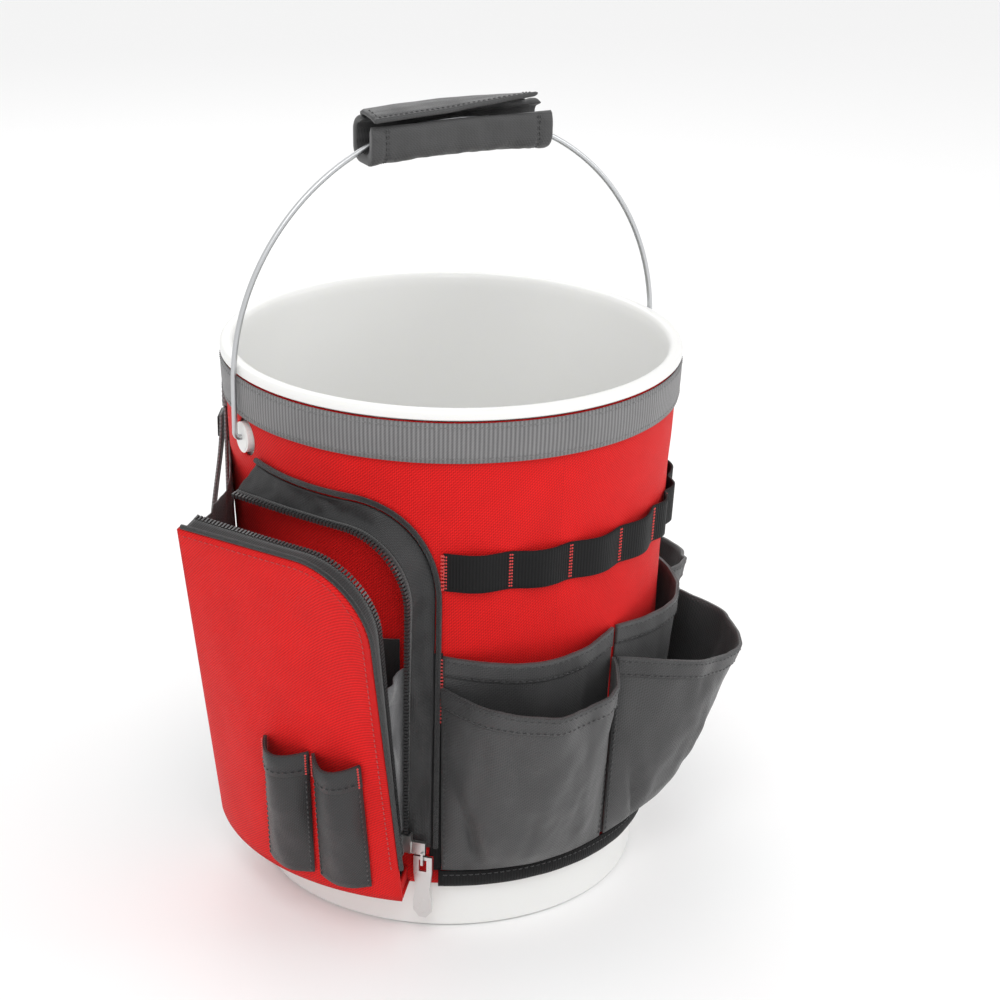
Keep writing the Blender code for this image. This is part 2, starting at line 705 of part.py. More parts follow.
TAPE_NEAR = FLAP_WALL + GAP
TAPE_FAR = TAPE_NEAR + ZIP_TAPE
CHAIN_NEAR = TAPE_FAR + GAP
CHAIN_FAR = CHAIN_NEAR + TOOTH
BODY_CHAIN_NEAR = CHAIN_FAR + CHAIN_GAP
BODY_CHAIN_FAR = BODY_CHAIN_NEAR + TOOTH
BODY_TAPE_NEAR = BODY_CHAIN_FAR + GAP
BODY_TAPE_FAR = BODY_TAPE_NEAR + BODY_TAPE
TAPE_LOW = -TOOTH / 2 - ZIP_TAPE_WALL / 2
TAPE_HIGH = -TOOTH / 2 + ZIP_TAPE_WALL / 2


def chain_sections(near, far, root):
    """Row of teeth on a spine: the spine stays at the root side and the teeth stand out."""
    made = []
    for k, frame in enumerate(tooth_frames()):
        tooth = k % 4 in (1, 2)
        spine = blend(near, far, TOOTH_ROOT)
        if root == "near":
            section = zip_section(frame, near, far if tooth else spine, -TOOTH, 0.0)
        else:
            section = zip_section(frame, near if tooth else spine, far, -TOOTH, 0.0)
        made.append(section)
    return made


def closed(section):
    return [shut @ point for point in section]


lofted("flap_zip_tape",
       [zip_section(frame, TAPE_NEAR, TAPE_FAR, TAPE_LOW, TAPE_HIGH) for frame in zip_frames],
       black_fabric, flap_axis)
lofted("flap_zip_teeth", chain_sections(CHAIN_NEAR, CHAIN_FAR, "near"), black_plastic, flap_axis)
cord("flap_piping",
     [zip_point(frame, FLAP_WALL / 2, PIPING / 2 + GAP) for frame in zip_frames],
     PIPING, black_fabric, flap_axis)
lofted("body_zip_teeth",
       [closed(section) for section in chain_sections(BODY_CHAIN_NEAR, BODY_CHAIN_FAR, "far")],
       black_plastic)
lofted("body_zip_tape",
       [closed(zip_section(frame, BODY_TAPE_NEAR, BODY_TAPE_FAR, TAPE_LOW, TAPE_HIGH))
        for frame in zip_frames], black_fabric)


def onto_wrap(point, stand):
    """The point moved level, towards or away from the pail's middle, onto the wrap."""
    level = Vector((point.x, point.y, 0.0)).normalized()
    return level * (wrap_outer(point.z) + stand) + UP * point.z


# Gusset: the fabric wall that carries the fixed half of the zip, sewn to the wrap with a piping
gusset_rows = [[], [], []]
piping_line = []
for frame in zip_frames:
    edge = shut @ zip_point(frame, BODY_TAPE_FAR + GUSSET_WALL, TAPE_LOW)
    root = onto_wrap(shut @ zip_point(frame, BODY_TAPE_FAR, GUSSET_SPREAD), 3 * GAP)
    gusset_rows[0].append(root)
    gusset_rows[1].append(root.lerp(edge, 0.5))
    gusset_rows[2].append(edge)
    cord_side = GUSSET_SPREAD + GUSSET_WALL + GUSSET_PIPING / 2 + GAP
    piping_line.append(onto_wrap(shut @ zip_point(frame, BODY_TAPE_FAR, cord_side),
                                 GUSSET_PIPING / 2 + 2 * GAP))
panel("zip_gusset", gusset_rows, GUSSET_WALL, grey_fabric)
cord("gusset_piping", piping_line, GUSSET_PIPING, black_fabric)

# Floor and right end of the zip pocket, below the end of the zip
floor_reach = FLAP_FOOT_RADIUS - FLAP_WALL - 3 * GAP
floor_sections = []
for share in steps(12):
    bearing = blend(FLAP_LEFT, FLAP_RIGHT, share)
    inside = wrap_outer(FLAP_FOOT) + 2 * GAP
    floor_sections.append([around(bearing, inside, FLAP_FOOT),
                           around(bearing, floor_reach, FLAP_FOOT),
                           around(bearing, floor_reach, FLAP_FOOT + FLOOR_WALL),
                           around(bearing, inside + GAP, FLAP_FOOT + FLOOR_WALL)])
lofted("zip_floor", floor_sections, red_fabric)

end_low = FLAP_FOOT + FLOOR_WALL + GAP
end_high = end_low + END_PANEL_HEIGHT - FLOOR_WALL
end_middle = (end_low + end_high) / 2
end_inner = wrap_outer(end_high) + 2 * GAP
end_outer = floor_reach - GAP
end_out = outward(FLAP_RIGHT)
end_side = sideways(FLAP_RIGHT)
block("zip_end_panel",
      end_out * (end_inner + end_outer) / 2 - end_side * END_PANEL_WALL + UP * end_middle,
      (end_out, end_side, UP), (end_outer - end_inner, END_PANEL_WALL, end_high - end_low),
      red_fabric)


# Soft sheets that fold as the flap shuts: the left bellows and the grey lining at the right
def soft_sheet(name, at_flap, at_wrap, pleat, material, parent=None):
    grid = []
    for share in steps(6):
        near, far = at_flap(share), at_wrap(share)
        fold = flap_side * pleat * share
        line = [near, near.lerp(far, 0.25) + fold * SOFT_BEND, near.lerp(far, 0.5) + fold,
                near.lerp(far, 0.75) + fold * SOFT_BEND, far]
        grid.append(line)
    return panel(name, grid, SOFT_WALL, material, parent)


SOFT_FOOT = FLAP_FOOT + FLOOR_WALL + 4 * GAP
FOOT_SHARE = (SOFT_FOOT - FLAP_FOOT) / (FLAP_TOP - FLAP_FOOT)


def behind_flap(u, v):
    return flap_point(u, v) - flap_normal(u, v) * (FLAP_WALL + 2 * GAP)


soft_sheet("left_bellows",
           lambda share: behind_flap(BELLOWS_SHARE, blend(FOOT_SHARE, BELLOWS_END, share)),
           lambda share: around(BELLOWS_BEARING,
                                wrap_outer(blend(SOFT_FOOT, BELLOWS_TOP, share)) + SOFT_WALL + GAP,
                                blend(SOFT_FOOT, BELLOWS_TOP, share)),
           BELLOWS_PLEAT, grey_fabric)
lining_foot = zip_line[LINING_FIRST][1]
lining_share = (LINING_TOP - FLAP_FOOT) / (FLAP_TOP - FLAP_FOOT)


def beside_tape(share):
    """Place on the inner side of the fixed tape, from the zip's lower end upwards."""
    frame = between(zip_frames[LINING_FIRST], zip_frames[LINING_LAST], share)
    return shut @ zip_point(frame, BODY_CHAIN_FAR, TAPE_LOW - 2 * SOFT_WALL)


soft_sheet("grey_lining",
           lambda share: behind_flap(LINING_SHARE, blend(lining_foot, lining_share, share)),
           beside_tape, -LINING_PLEAT, grey_lining)
panel("inner_pocket",
      pouch_grid(INNER_POCKET_LEFT, INNER_POCKET_RIGHT, SOFT_FOOT, INNER_POCKET_MOUTH,
                 INNER_POCKET_DEPTH, 2 * GAP, 10, TALL_ROWS), POUCH_WALL, black_fabric)


# Pen sleeves on the flap's face
for name, left, right in SLEEVES:
    sleeve_grid = []
    for share in steps(5):
        v = blend(SLEEVE_FOOT, SLEEVE_MOUTH, share)
        line = []
        for across in steps(6):
            u = blend(left, right, across)
            swell = SLEEVE_DEPTH * math.sin(math.pi * across) * min(1.0, SLEEVE_FOOT_SWELL + share)
            line.append(flap_point(u, v) + flap_normal(u, v) * (2 * GAP + swell))
        sleeve_grid.append(line)
    panel(name, sleeve_grid, SLEEVE_WALL, grey_fabric, flap_axis)


# Slider: a clip round the fixed row of teeth, with a face plate beside it that ends in a
# tongue for the pull. It runs straight, so it is set square to the row partway up its run.
middle_frame = zip_frames[round(ZIP_RUNS * SLIDER_SHARE)]
RAIL_DEPTH = CHAIN_FAR + CHAIN_GAP / 2
RAIL_START = shut @ zip_point(zip_frames[0], RAIL_DEPTH, -TOOTH / 2)
RAIL_END = shut @ zip_point(zip_frames[round(2 * ZIP_RUNS * SLIDER_SHARE)], RAIL_DEPTH, -TOOTH / 2)
rail = (RAIL_END - RAIL_START).normalized()
rail_in = -(shut.to_3x3() @ middle_frame[1])
rail_in = (rail_in - rail * rail_in.dot(rail)).normalized()
rail_out = rail_in.cross(rail)
rail_axes = (rail, rail_in, rail_out)
slider_middle = RAIL_START + rail * SLIDER_LENGTH / 2
slider_axis = add_axis("slider_axis", slider_middle)
plate_stand = TOOTH / 2 + SLIDER_PLAY + SLIDER_PLATE / 2
plate_depth = CHAIN_GAP / 2 + TOOTH + SLIDER_WEB / 2
plate_middle = slider_middle + rail_in * (plate_depth - SLIDER_WEB) / 2
slider = block("zip_slider", plate_middle + rail_out * plate_stand, rail_axes,
               (SLIDER_LENGTH, plate_depth, SLIDER_PLATE), bright_metal, slider_axis)
slider_back = block("slider_back", plate_middle - rail_out * plate_stand, rail_axes,
                    (SLIDER_LENGTH, plate_depth, SLIDER_PLATE))
slider_web = block("slider_web", slider_middle, rail_axes,
                   (SLIDER_LENGTH - 2 * GAP, SLIDER_WEB - GAP, 2 * plate_stand))

# Face plate and tongue, level with the ground rather than with the row
hang = -UP
hang_across = (rail_out - UP * rail_out.dot(UP)).normalized()
hang_out = hang.cross(hang_across)
level_axes = (hang_out, hang_across, UP)
face_low = slider_middle - rail * SLIDER_LENGTH / 2 + rail_in * FACE_WALL / 2
face_start = plate_stand - SLIDER_PLATE / 4
face_middle = face_low + hang_across * (face_start + FACE_REACH) / 2 + UP * FACE_HEIGHT / 2
slider_face = block("slider_face", face_middle, level_axes,
                    (FACE_WALL, FACE_REACH - face_start, FACE_HEIGHT))
eye_middle = face_low + hang_across * (FACE_REACH - TONGUE_WALL) - UP * (EYE + PULL_BAR) / 2
tongue_height = EYE + PULL_BAR + TONGUE_WALL
slider_tongue = block("slider_tongue",
                      eye_middle + UP * (tongue_height / 2 - EYE / 2 - TONGUE_WALL), level_axes,
                      (TONGUE_WIDTH, TONGUE_WALL, tongue_height + TONGUE_WALL))
slider_eye = block("slider_eye", eye_middle, level_axes, (EYE, 3 * TONGUE_WALL, EYE))
combine(slider, slider_web, "UNION")
combine(slider, slider_back, "UNION")
combine(slider, slider_face, "UNION")
combine(slider, slider_tongue, "UNION")
combine(slider, slider_eye, "DIFFERENCE")

# Pull: a slotted metal tab whose top bar sits in the tongue's eye; it hangs straight down
pull_axis = add_axis("pull_axis", eye_middle)
pull_start = -PULL_BAR / 2
pull_side = [(pull_start, PULL_WIDTH / 2), (PULL_SLOT_LENGTH + PULL_BAR, PULL_WIDTH / 2),
             (PULL_LENGTH / 2, PULL_WAIST / 2), (PULL_LENGTH * PULL_FLARE, PULL_WIDTH / 2),
             (PULL_LENGTH - PULL_WAIST / 2, PULL_WIDTH / 2), (PULL_LENGTH, PULL_WAIST / 4)]
pull_outline = pull_side + [(down, -across) for down, across in reversed(pull_side)]


def pull_section(stand):
    return [eye_middle + hang * down + hang_across * across + hang_out * stand
            for down, across in pull_outline]


pull = lofted("zip_pull", [pull_section(side * PULL_WALL / 2) for side in (-1, 1)],
              bright_metal, pull_axis)
pull_slot = block("pull_slot", eye_middle + hang * (PULL_BAR + PULL_SLOT_LENGTH) / 2,
                  (hang, hang_across, hang_out),
                  (PULL_SLOT_LENGTH, PULL_SLOT_WIDTH, 3 * PULL_WALL))
combine(pull, pull_slot, "DIFFERENCE")

# Red tab sewn on the wrap below the gusset, beside the lower end of the zip
tab_middle = FLAP_FOOT + FLOOR_WALL + TAB_HEIGHT / 2
tab_stand = wrap_outer(tab_middle + TAB_HEIGHT / 2) + TAB_WALL / 2 + 2 * GAP
block("zip_tab", outward(TAB_BEARING) * tab_stand + UP * tab_middle,
      (outward(TAB_BEARING), sideways(TAB_BEARING), UP), (TAB_WALL, TAB_WIDTH, TAB_HEIGHT),
      red_fabric)


# Tape strap: a loop of webbing that hangs from an anchor tab sewn below the top band
strap_out = outward(STRAP_BEARING)
strap_side = sideways(STRAP_BEARING)
strap_top = PAIL_HEIGHT - STRAP_TOP_DROP
strap_stand = on_wrap(strap_top + ANCHOR_HEIGHT) + ANCHOR_WALL / 2
strap_axis = add_axis("strap_axis", strap_out * strap_stand + UP * (strap_top - STRAP_DROP))
anchor_middle = strap_top + GAP + ANCHOR_HEIGHT / 2
block("strap_anchor",
      strap_out * (on_wrap(strap_top + ANCHOR_HEIGHT) + ANCHOR_WALL / 2) + UP * anchor_middle,
      (strap_out, strap_side, UP), (ANCHOR_WALL, STRAP_WIDTH, ANCHOR_HEIGHT), grey_webbing)
turn_height = strap_top - STRAP_LENGTH + STRAP_TURN
strap_line = [Vector((0.0, strap_top - STRAP_DROP)), Vector((-GAP, (strap_top + turn_height) / 2))]
for share in steps(8):
    turn = math.radians(180.0 + 180.0 * share)
    strap_line.append(Vector((STRAP_TURN + STRAP_TURN * math.cos(turn),
                              turn_height + STRAP_TURN * math.sin(turn))))
strap_line += [Vector((STRAP_TURN * STRAP_BELLY, (strap_top + turn_height) / 2)),
               Vector((STRAP_NECK, strap_top - STRAP_END_DROP - CLOSURE_HEIGHT / 2)),
               Vector((STRAP_NECK, strap_top - STRAP_END_DROP))]
strap_outline = thick_outline(strap_line, STRAP_WALL)


def strap_section(outline, across):
    return [strap_out * (strap_stand + p.x) + strap_side * across + UP * p.y for p in outline]


lofted("tape_strap",
       [strap_section(strap_outline, side * STRAP_WIDTH / 2) for side in (-1, 1)],
       grey_webbing, strap_axis)
closure_stand = STRAP_NECK + STRAP_WALL / 2 + GAP + CLOSURE_WALL / 2
closure_line = [Vector((closure_stand, strap_top - STRAP_END_DROP - STRAP_WALL)),
                Vector((closure_stand, strap_top - STRAP_END_DROP - CLOSURE_HEIGHT / 2))]
lofted("strap_closure",
       [strap_section(thick_outline(closure_line, CLOSURE_WALL), side * STRAP_WIDTH / 2)
        for side in (-1, 1)], black_fabric, strap_axis)


# Rear buckle: a flat socket and a plug whose two prongs slide into it
buckle_out = outward(BUCKLE_BEARING)
buckle_side = sideways(BUCKLE_BEARING)
buckle_axes = (buckle_side, buckle_out, UP)
buckle_seat = buckle_out * (BUCKLE_FACE + BUCKLE_WALL / 2 + GAP) + UP * buckle_height_at
socket = block("buckle_socket", buckle_seat + buckle_side * SOCKET_LENGTH / 2, buckle_axes,
               (SOCKET_LENGTH, BUCKLE_WALL, BUCKLE_HEIGHT), black_plastic)
cavity_depth = PRONG_LENGTH + 2 * GAP
socket_cavity = block("socket_cavity", buckle_seat + buckle_side * cavity_depth / 2
                      - buckle_side * SOCKET_SHELL, buckle_axes,
                      (cavity_depth + 2 * SOCKET_SHELL, BUCKLE_WALL - 2 * SOCKET_SHELL,
                       BUCKLE_HEIGHT - 2 * SOCKET_SHELL))
socket_slot = block("socket_slot",
                    buckle_seat + buckle_side * (SOCKET_LENGTH - BUCKLE_SLOT / 2 - SOCKET_SHELL),
                    buckle_axes, (BUCKLE_SLOT / 2, 2 * BUCKLE_WALL,
                                  BUCKLE_HEIGHT - 2 * BUCKLE_SLOT_INSET))
combine(socket, socket_cavity, "DIFFERENCE")
combine(socket, socket_slot, "DIFFERENCE")
plug_axis = add_axis("plug_axis", buckle_seat)
plug_middle = -(PLUG_BASE / 2 + PLUG_JOIN)
plug = block("buckle_plug", buckle_seat + buckle_side * plug_middle, buckle_axes,
             (PLUG_BASE, BUCKLE_WALL, BUCKLE_HEIGHT), black_plastic, plug_axis)
for prong_name, prong_side in (("prong_top", 1.0), ("prong_bottom", -1.0)):
    prong = block(prong_name, buckle_seat + buckle_side * (PRONG_LENGTH - PLUG_BASE) / 2
                  + UP * prong_side * PRONG_SPACING, buckle_axes,
                  (PRONG_LENGTH + PLUG_BASE, PRONG_WALL, PRONG_WIDTH))
    prong.location = -buckle_side * GAP
    combine(plug, prong, "UNION")
plug_slot = block("plug_slot", buckle_seat - buckle_side * (PLUG_BASE - BUCKLE_SLOT),
                  buckle_axes, (BUCKLE_SLOT, 2 * BUCKLE_WALL,
                                BUCKLE_HEIGHT - 2 * BUCKLE_SLOT_INSET))
combine(plug, plug_slot, "DIFFERENCE")


# Free tail of the band, held in the plug and lying over the sewn band
def on_band(z):
    return on_wrap(z) + BAND_WALL + 2 * GAP


tail_start = math.degrees(math.atan2(PLUG_BASE + PLUG_JOIN + 2 * GAP, BUCKLE_FACE))
tail = ring_strip("band_tail", BUCKLE_BEARING - tail_start - TAIL_SWEEP,
                  BUCKLE_BEARING - tail_start, on_band, BAND_WALL,
                  buckle_height_at - TAIL_WIDTH / 2, buckle_height_at + TAIL_WIDTH / 2,
                  grey_webbing)
tail.parent = plug_axis
tail.matrix_parent_inverse = plug_axis.matrix_basis.inverted()
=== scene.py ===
import math

import bmesh
import bpy
from mathutils import Matrix, Vector, noise


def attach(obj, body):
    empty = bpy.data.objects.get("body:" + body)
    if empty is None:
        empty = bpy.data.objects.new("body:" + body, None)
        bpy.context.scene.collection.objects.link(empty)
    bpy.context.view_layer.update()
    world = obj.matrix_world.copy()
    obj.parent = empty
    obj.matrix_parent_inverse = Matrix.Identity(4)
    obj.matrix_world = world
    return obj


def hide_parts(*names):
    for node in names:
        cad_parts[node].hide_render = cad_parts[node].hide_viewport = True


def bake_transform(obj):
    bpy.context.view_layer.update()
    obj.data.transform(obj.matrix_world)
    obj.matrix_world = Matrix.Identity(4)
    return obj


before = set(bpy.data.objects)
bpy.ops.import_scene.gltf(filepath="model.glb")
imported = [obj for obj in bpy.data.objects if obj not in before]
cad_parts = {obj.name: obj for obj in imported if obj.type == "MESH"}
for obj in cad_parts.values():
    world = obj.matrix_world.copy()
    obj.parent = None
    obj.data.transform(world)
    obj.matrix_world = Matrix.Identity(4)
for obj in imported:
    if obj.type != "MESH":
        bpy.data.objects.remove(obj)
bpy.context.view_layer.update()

# Camera, floor and light
# The camera stands at the front left, a little above the rim, as in the photograph. Soft studio
# light comes from a pale room, a large lamp at the front left and weaker ones at the right and back.
CAMERA_PLACE = (-0.64965, -1.22182, 0.8091)
LAMP_AIM = Vector((0.0, 0.0, 0.2))
LAMPS = (("key_lamp", (-0.9, -1.5, 2.0), 1.2, 16.0),
         ("fill_lamp", (1.6, -0.9, 1.1), 1.0, 6.0),
         ("rear_lamp", (0.4, 1.7, 1.6), 1.2, 7.0))
yaw = math.radians(-29.4018)
rise = math.radians(21.894)
roll = math.radians(1.1833)
back = Vector((math.sin(yaw) * math.cos(rise), -math.cos(yaw) * math.cos(rise), math.sin(rise)))
level_right = Vector((math.cos(yaw), math.sin(yaw), 0.0))
level_up = back.cross(level_right)
right = level_right * math.cos(roll) + level_up * math.sin(roll)
up = level_up * math.cos(roll) - level_right * math.sin(roll)
camera_data = bpy.data.cameras.new("camera")
camera_data.sensor_width = 36.0
camera_data.lens = 79.42
camera_data.clip_end = 20.0
camera = bpy.data.objects.new("camera", camera_data)
turn = Matrix((right, up, back)).transposed().to_4x4()
camera.matrix_world = Matrix.Translation(CAMERA_PLACE) @ turn
bpy.context.scene.collection.objects.link(camera)
bpy.context.scene.camera = camera

floor_mesh = bpy.data.meshes.new("floor")
floor_mesh.from_pydata([(-6, -6, 0), (6, -6, 0), (6, 6, 0), (-6, 6, 0)], [], [(0, 1, 2, 3)])
floor = bpy.data.objects.new("floor", floor_mesh)
bpy.context.scene.collection.objects.link(floor)
floor_paint = bpy.data.materials.new("pale_floor")
floor_paint.use_nodes = True
floor_shader = floor_paint.node_tree.nodes["Principled BSDF"]
floor_shader.inputs["Base Color"].default_value = (0.93, 0.93, 0.93, 1.0)
floor_shader.inputs["Roughness"].default_value = 0.9
floor_mesh.materials.append(floor_paint)

room = bpy.data.worlds.new("room")
room.use_nodes = True
room_light = room.node_tree.nodes["Background"]
room_light.inputs["Color"].default_value = (1.0, 1.0, 1.0, 1.0)
room_light.inputs["Strength"].default_value = 0.95
bpy.context.scene.world = room
bpy.context.scene.view_settings.view_transform = "Standard"
for name, place, width, power in LAMPS:
    lamp_data = bpy.data.lights.new(name, "AREA")
    lamp_data.energy = power
    lamp_data.size = width
    lamp = bpy.data.objects.new(name, lamp_data)
    lamp.location = place
    aim = LAMP_AIM - Vector(place)
    lamp.rotation_euler = aim.to_track_quat("-Z", "Y").to_euler()
    bpy.context.scene.collection.objects.link(lamp)


# Pail
# White moulded plastic, tapered, with a rolled rim and a moulded ear at each side that the bail
# turns in. It is the root body, and everything else is carried by it.
def around(bearing, radius, z):
    """Point at a bearing in degrees from the front towards the right, seen from above."""
    angle = math.radians(bearing)
    return Vector((radius * math.sin(angle), -radius * math.cos(angle), z))


def mix(low, high, share):
    return low + (high - low) * share


def steps(count):
    """Even shares from 0 to 1, both ends included."""
    return [k / count for k in range(count + 1)]


def spread(start, end, count):
    return [mix(start, end, s) for s in steps(count)]


def add_piece(name, mesh, material, body, replaced=()):
    """One piece of the object, riding on its body and standing for the nodes it replaces."""
    mesh.materials.append(material)
    piece = bpy.data.objects.new(name, mesh)
    bpy.context.scene.collection.objects.link(piece)
    if body:
        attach(piece, body)
    if replaced:
        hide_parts(*replaced)
    return piece


def smooth_mesh(name, bm):
    bm.normal_update()
    bmesh.ops.recalc_face_normals(bm, faces=bm.faces)
    for face in bm.faces:
        face.smooth = True
    mesh = bpy.data.meshes.new(name)
    bm.to_mesh(mesh)
    bm.free()
    return mesh


def set_inputs(node, tree, sockets):
    """Inputs of a shader node: each is a value, or the output that it is joined to."""
    for socket, value in sockets.items():
        held = node.inputs[socket.replace("_", " ")]
        if isinstance(value, bpy.types.NodeSocket):
            tree.links.new(value, held)
        else:
            held.default_value = value


def add_node(tree, kind, data_type=None, **sockets):
    node = tree.nodes.new("ShaderNode" + kind)
    if data_type:
        node.data_type = data_type
    set_inputs(node, tree, sockets)
    return node


def new_shader(name, colour, roughness, **sockets):
    """Material of one finish, with its node tree and its Principled shader."""
    made = bpy.data.materials.new(name)
    made.use_nodes = True
    shader = made.node_tree.nodes["Principled BSDF"]
    set_inputs(shader, made.node_tree, dict(Base_Color=(*colour, 1.0), Roughness=roughness, **sockets))
    return made, made.node_tree, shader


def uneven_shine(tree, shader, patches, low, high, detail=2.0):
    """Roughness that wanders between two values, as on a rubbed or spangled surface."""
    places = add_node(tree, "TexCoord")
    spots = add_node(tree, "TexNoise", Vector=places.outputs["Object"], Scale=patches, Detail=detail)
    rough = add_node(tree, "MapRange", Value=spots.outputs["Fac"], To_Min=low, To_Max=high)
    tree.links.new(rough.outputs["Result"], shader.inputs["Roughness"])


PAIL_FOOT_RADIUS = 0.131
PAIL_TAPER = 0.0132
PAIL_NECK = 0.3635
PAIL_SIDES = 120
RIB_TOPS = (0.348, 0.295)
RIB_STAND = 0.0016
RIB_TALL = 0.004
RIB_BEVEL = 0.0005
EAR_Z = 0.322
EAR_STEPS = ((0.010, 0.1410, 0.1497), (0.0085, 0.1490, 0.1500))


def pail_outer(z):
    return PAIL_FOOT_RADIUS + PAIL_TAPER * z / PAIL_NECK


pail_line = [(0.0, 0.0035), (0.1245, 0.0035), (0.1275, 0.0050), (0.1286, 0.0085), (0.1417, 0.3600),
             (0.1424, 0.3665), (0.1434, 0.3688), (0.1448, 0.3698), (0.1465, 0.3700), (0.1490, 0.3699),
             (0.1505, 0.3694), (0.1512, 0.3684), (0.1515, 0.3668), (0.1514, 0.3642), (0.1508, 0.3636),
             (0.1446, 0.3634)]
for top in RIB_TOPS:
    wall = pail_outer(top)
    pail_line += [(wall, top), (wall + RIB_STAND, top - RIB_BEVEL),
                  (wall + RIB_STAND, top - RIB_TALL + RIB_BEVEL), (wall, top - RIB_TALL)]
pail_line += [(0.1312, 0.0050), (0.1305, 0.0018), (0.1285, 0.0004), (0.1265, 0.0), (0.0, 0.0)]
bm = bmesh.new()
rings = []
for radius, z in pail_line:
    if radius == 0.0:
        rings.append([bm.verts.new((0.0, 0.0, z))])
    else:
        rings.append([bm.verts.new(around(360.0 * k / PAIL_SIDES, radius, z))
                      for k in range(PAIL_SIDES)])
for low, high in zip(rings, rings[1:]):
    for k in range(PAIL_SIDES):
        corners = [low[k % len(low)], low[(k + 1) % PAIL_SIDES % len(low)],
                   high[(k + 1) % PAIL_SIDES % len(high)], high[k % len(high)]]
        bm.faces.new(list(dict.fromkeys(corners)))


def ear_pin(bm, radius, sides, middle, long):
    """Round pin along the line through the ears."""
    made = bmesh.ops.create_cone(bm, cap_ends=True, segments=sides, radius1=radius, radius2=radius,
                                 depth=long)
    place = Matrix.Translation((middle, 0.0, EAR_Z)) @ Matrix.Rotation(math.radians(90), 4, "Y")
    bmesh.ops.transform(bm, verts=made["verts"], matrix=place)


for side in (1.0, -1.0):
    for radius, inside, outside in EAR_STEPS:
        ear_pin(bm, radius, sides=32, middle=side * (inside + outside) / 2, long=outside - inside)
pail_mesh = smooth_mesh("pail_shell", bm)
pail_mesh.set_sharp_from_angle(angle=math.radians(38))
pail_paint, tree, shader = new_shader("white_pail_plastic", (0.80, 0.80, 0.785), 0.34,
                                      Subsurface_Weight=0.12, Subsurface_Radius=(0.004, 0.004, 0.003),
                                      Coat_Weight=0.12, Coat_Roughness=0.25)
uneven_shine(tree, shader, patches=55.0, low=0.27, high=0.42, detail=6.0)
add_piece("pail_shell", pail_mesh, pail_paint, "body", ["pail"])


# Bail
# Galvanised wire in one length: straight legs under a half circle, its ends turned in through
# the pail's ears. It swings about the line through the two ears.
BAIL_SPAN = 0.1543
BAIL_LEG = 0.036
BAIL_BEND = 0.004
BAIL_END = 0.004
BAIL_ARCH = EAR_Z + BAIL_LEG
half = [Vector((BAIL_SPAN - BAIL_BEND - BAIL_END, 0, EAR_Z))]
half += [Vector((BAIL_SPAN - BAIL_BEND + BAIL_BEND * math.sin(a), 0,
                 EAR_Z + BAIL_BEND * (1 - math.cos(a))))
         for a in [math.radians(90 * s) for s in steps(6)]]
half += [Vector((BAIL_SPAN * math.cos(a), 0, BAIL_ARCH + BAIL_SPAN * math.sin(a)))
         for a in [math.radians(90 * s) for s in steps(40)]]
wire_points = half + [Vector((-p.x, p.y, p.z)) for p in reversed(half[:-1])]


def rod(name, points, material, body, replaced=(), *, diameter):
    """Round wire or cord along a line of points."""
    curve = bpy.data.curves.new(name, "CURVE")
    curve.dimensions = "3D"
    curve.bevel_depth = diameter / 2
    curve.bevel_resolution = 4
    curve.use_fill_caps = True
    line = curve.splines.new("POLY")
    line.points.add(len(points) - 1)
    for held, point in zip(line.points, points):
        held.co = (*point, 1.0)
    line.use_smooth = True
    return add_piece(name, curve, material, body, replaced)


wire_paint, tree, shader = new_shader("galvanised_wire", (0.55, 0.56, 0.57), 0.34, Metallic=1.0)
uneven_shine(tree, shader, patches=420.0, low=0.24, high=0.5)
rod("bail_rod", wire_points, wire_paint, "bail", ["bail_wire"], diameter=0.0036)


# Red wrap
# Coarse woven red nylon sewn into a tube and pulled over the pail, bare round each ear. It shows
# between the pouches and the top band, with shallow wrinkles where it is pulled tight.
WRAP_STAND = 0.0027
WRAP_SLACK = 0.002
WRAP_SLACK_RISE = 0.348
WRAP_UNDER = 0.0012
WRAP_FOOT = 0.036
WRAP_TOP = 0.362
WRAP_SIDES = 240
WAVE_RADIANS = 20.0


def wrap_outer(z):
    """Outside radius of the wrap at a height, a little looser towards the top."""
    return pail_outer(z) + WRAP_STAND + WRAP_SLACK * z / WRAP_SLACK_RISE


def on_wrap(bearing, z, stand):
    return around(bearing, wrap_outer(z) + stand, z)


def arch(share):
    """Half wave: nothing at both ends and one in the middle."""
    return math.sin(math.pi * share)


def bands(tree, flat, direction, spacing, phase=0.0):
    """Even bands a spacing apart in metres; at scale 1 the wave turns by WAVE_RADIANS a metre."""
    scale = 2 * math.pi / (WAVE_RADIANS * spacing)
    wave = add_node(tree, "TexWave", Vector=flat, Scale=scale, Phase_Offset=phase)
    wave.bands_direction = direction
    return wave.outputs["Fac"]


def weave_height(tree, flat, thread, ribs):
    """Height of a plain weave, in which threads go over and under by turns."""
    checks = add_node(tree, "TexChecker", Vector=flat, Scale=1.0 / thread)
    over = add_node(tree, "Mix", "FLOAT", Factor=checks.outputs["Fac"],
                    A=bands(tree, flat, "X", thread, -math.pi / 2),
                    B=bands(tree, flat, "Y", thread, -math.pi / 2))
    if ribs:
        over = add_node(tree, "Mix", "FLOAT", Factor=0.72, A=over.outputs["Result"],
                        B=bands(tree, flat, "X", ribs))
    return over.outputs["Result"]


def soft_folds(tree, flat, depth):
    """Broad soft creases that run down the cloth, as a normal."""
    hang = add_node(tree, "Mapping", Vector=flat, Scale=(1.0, 0.45, 1.0))
    folds = add_node(tree, "TexNoise", Vector=hang.outputs["Vector"], Scale=30.0, Detail=1.2,
                     Roughness=0.42)
    rumple = add_node(tree, "Bump", Height=folds.outputs["Fac"], Strength=1.0, Distance=depth)
    return rumple.outputs["Normal"]


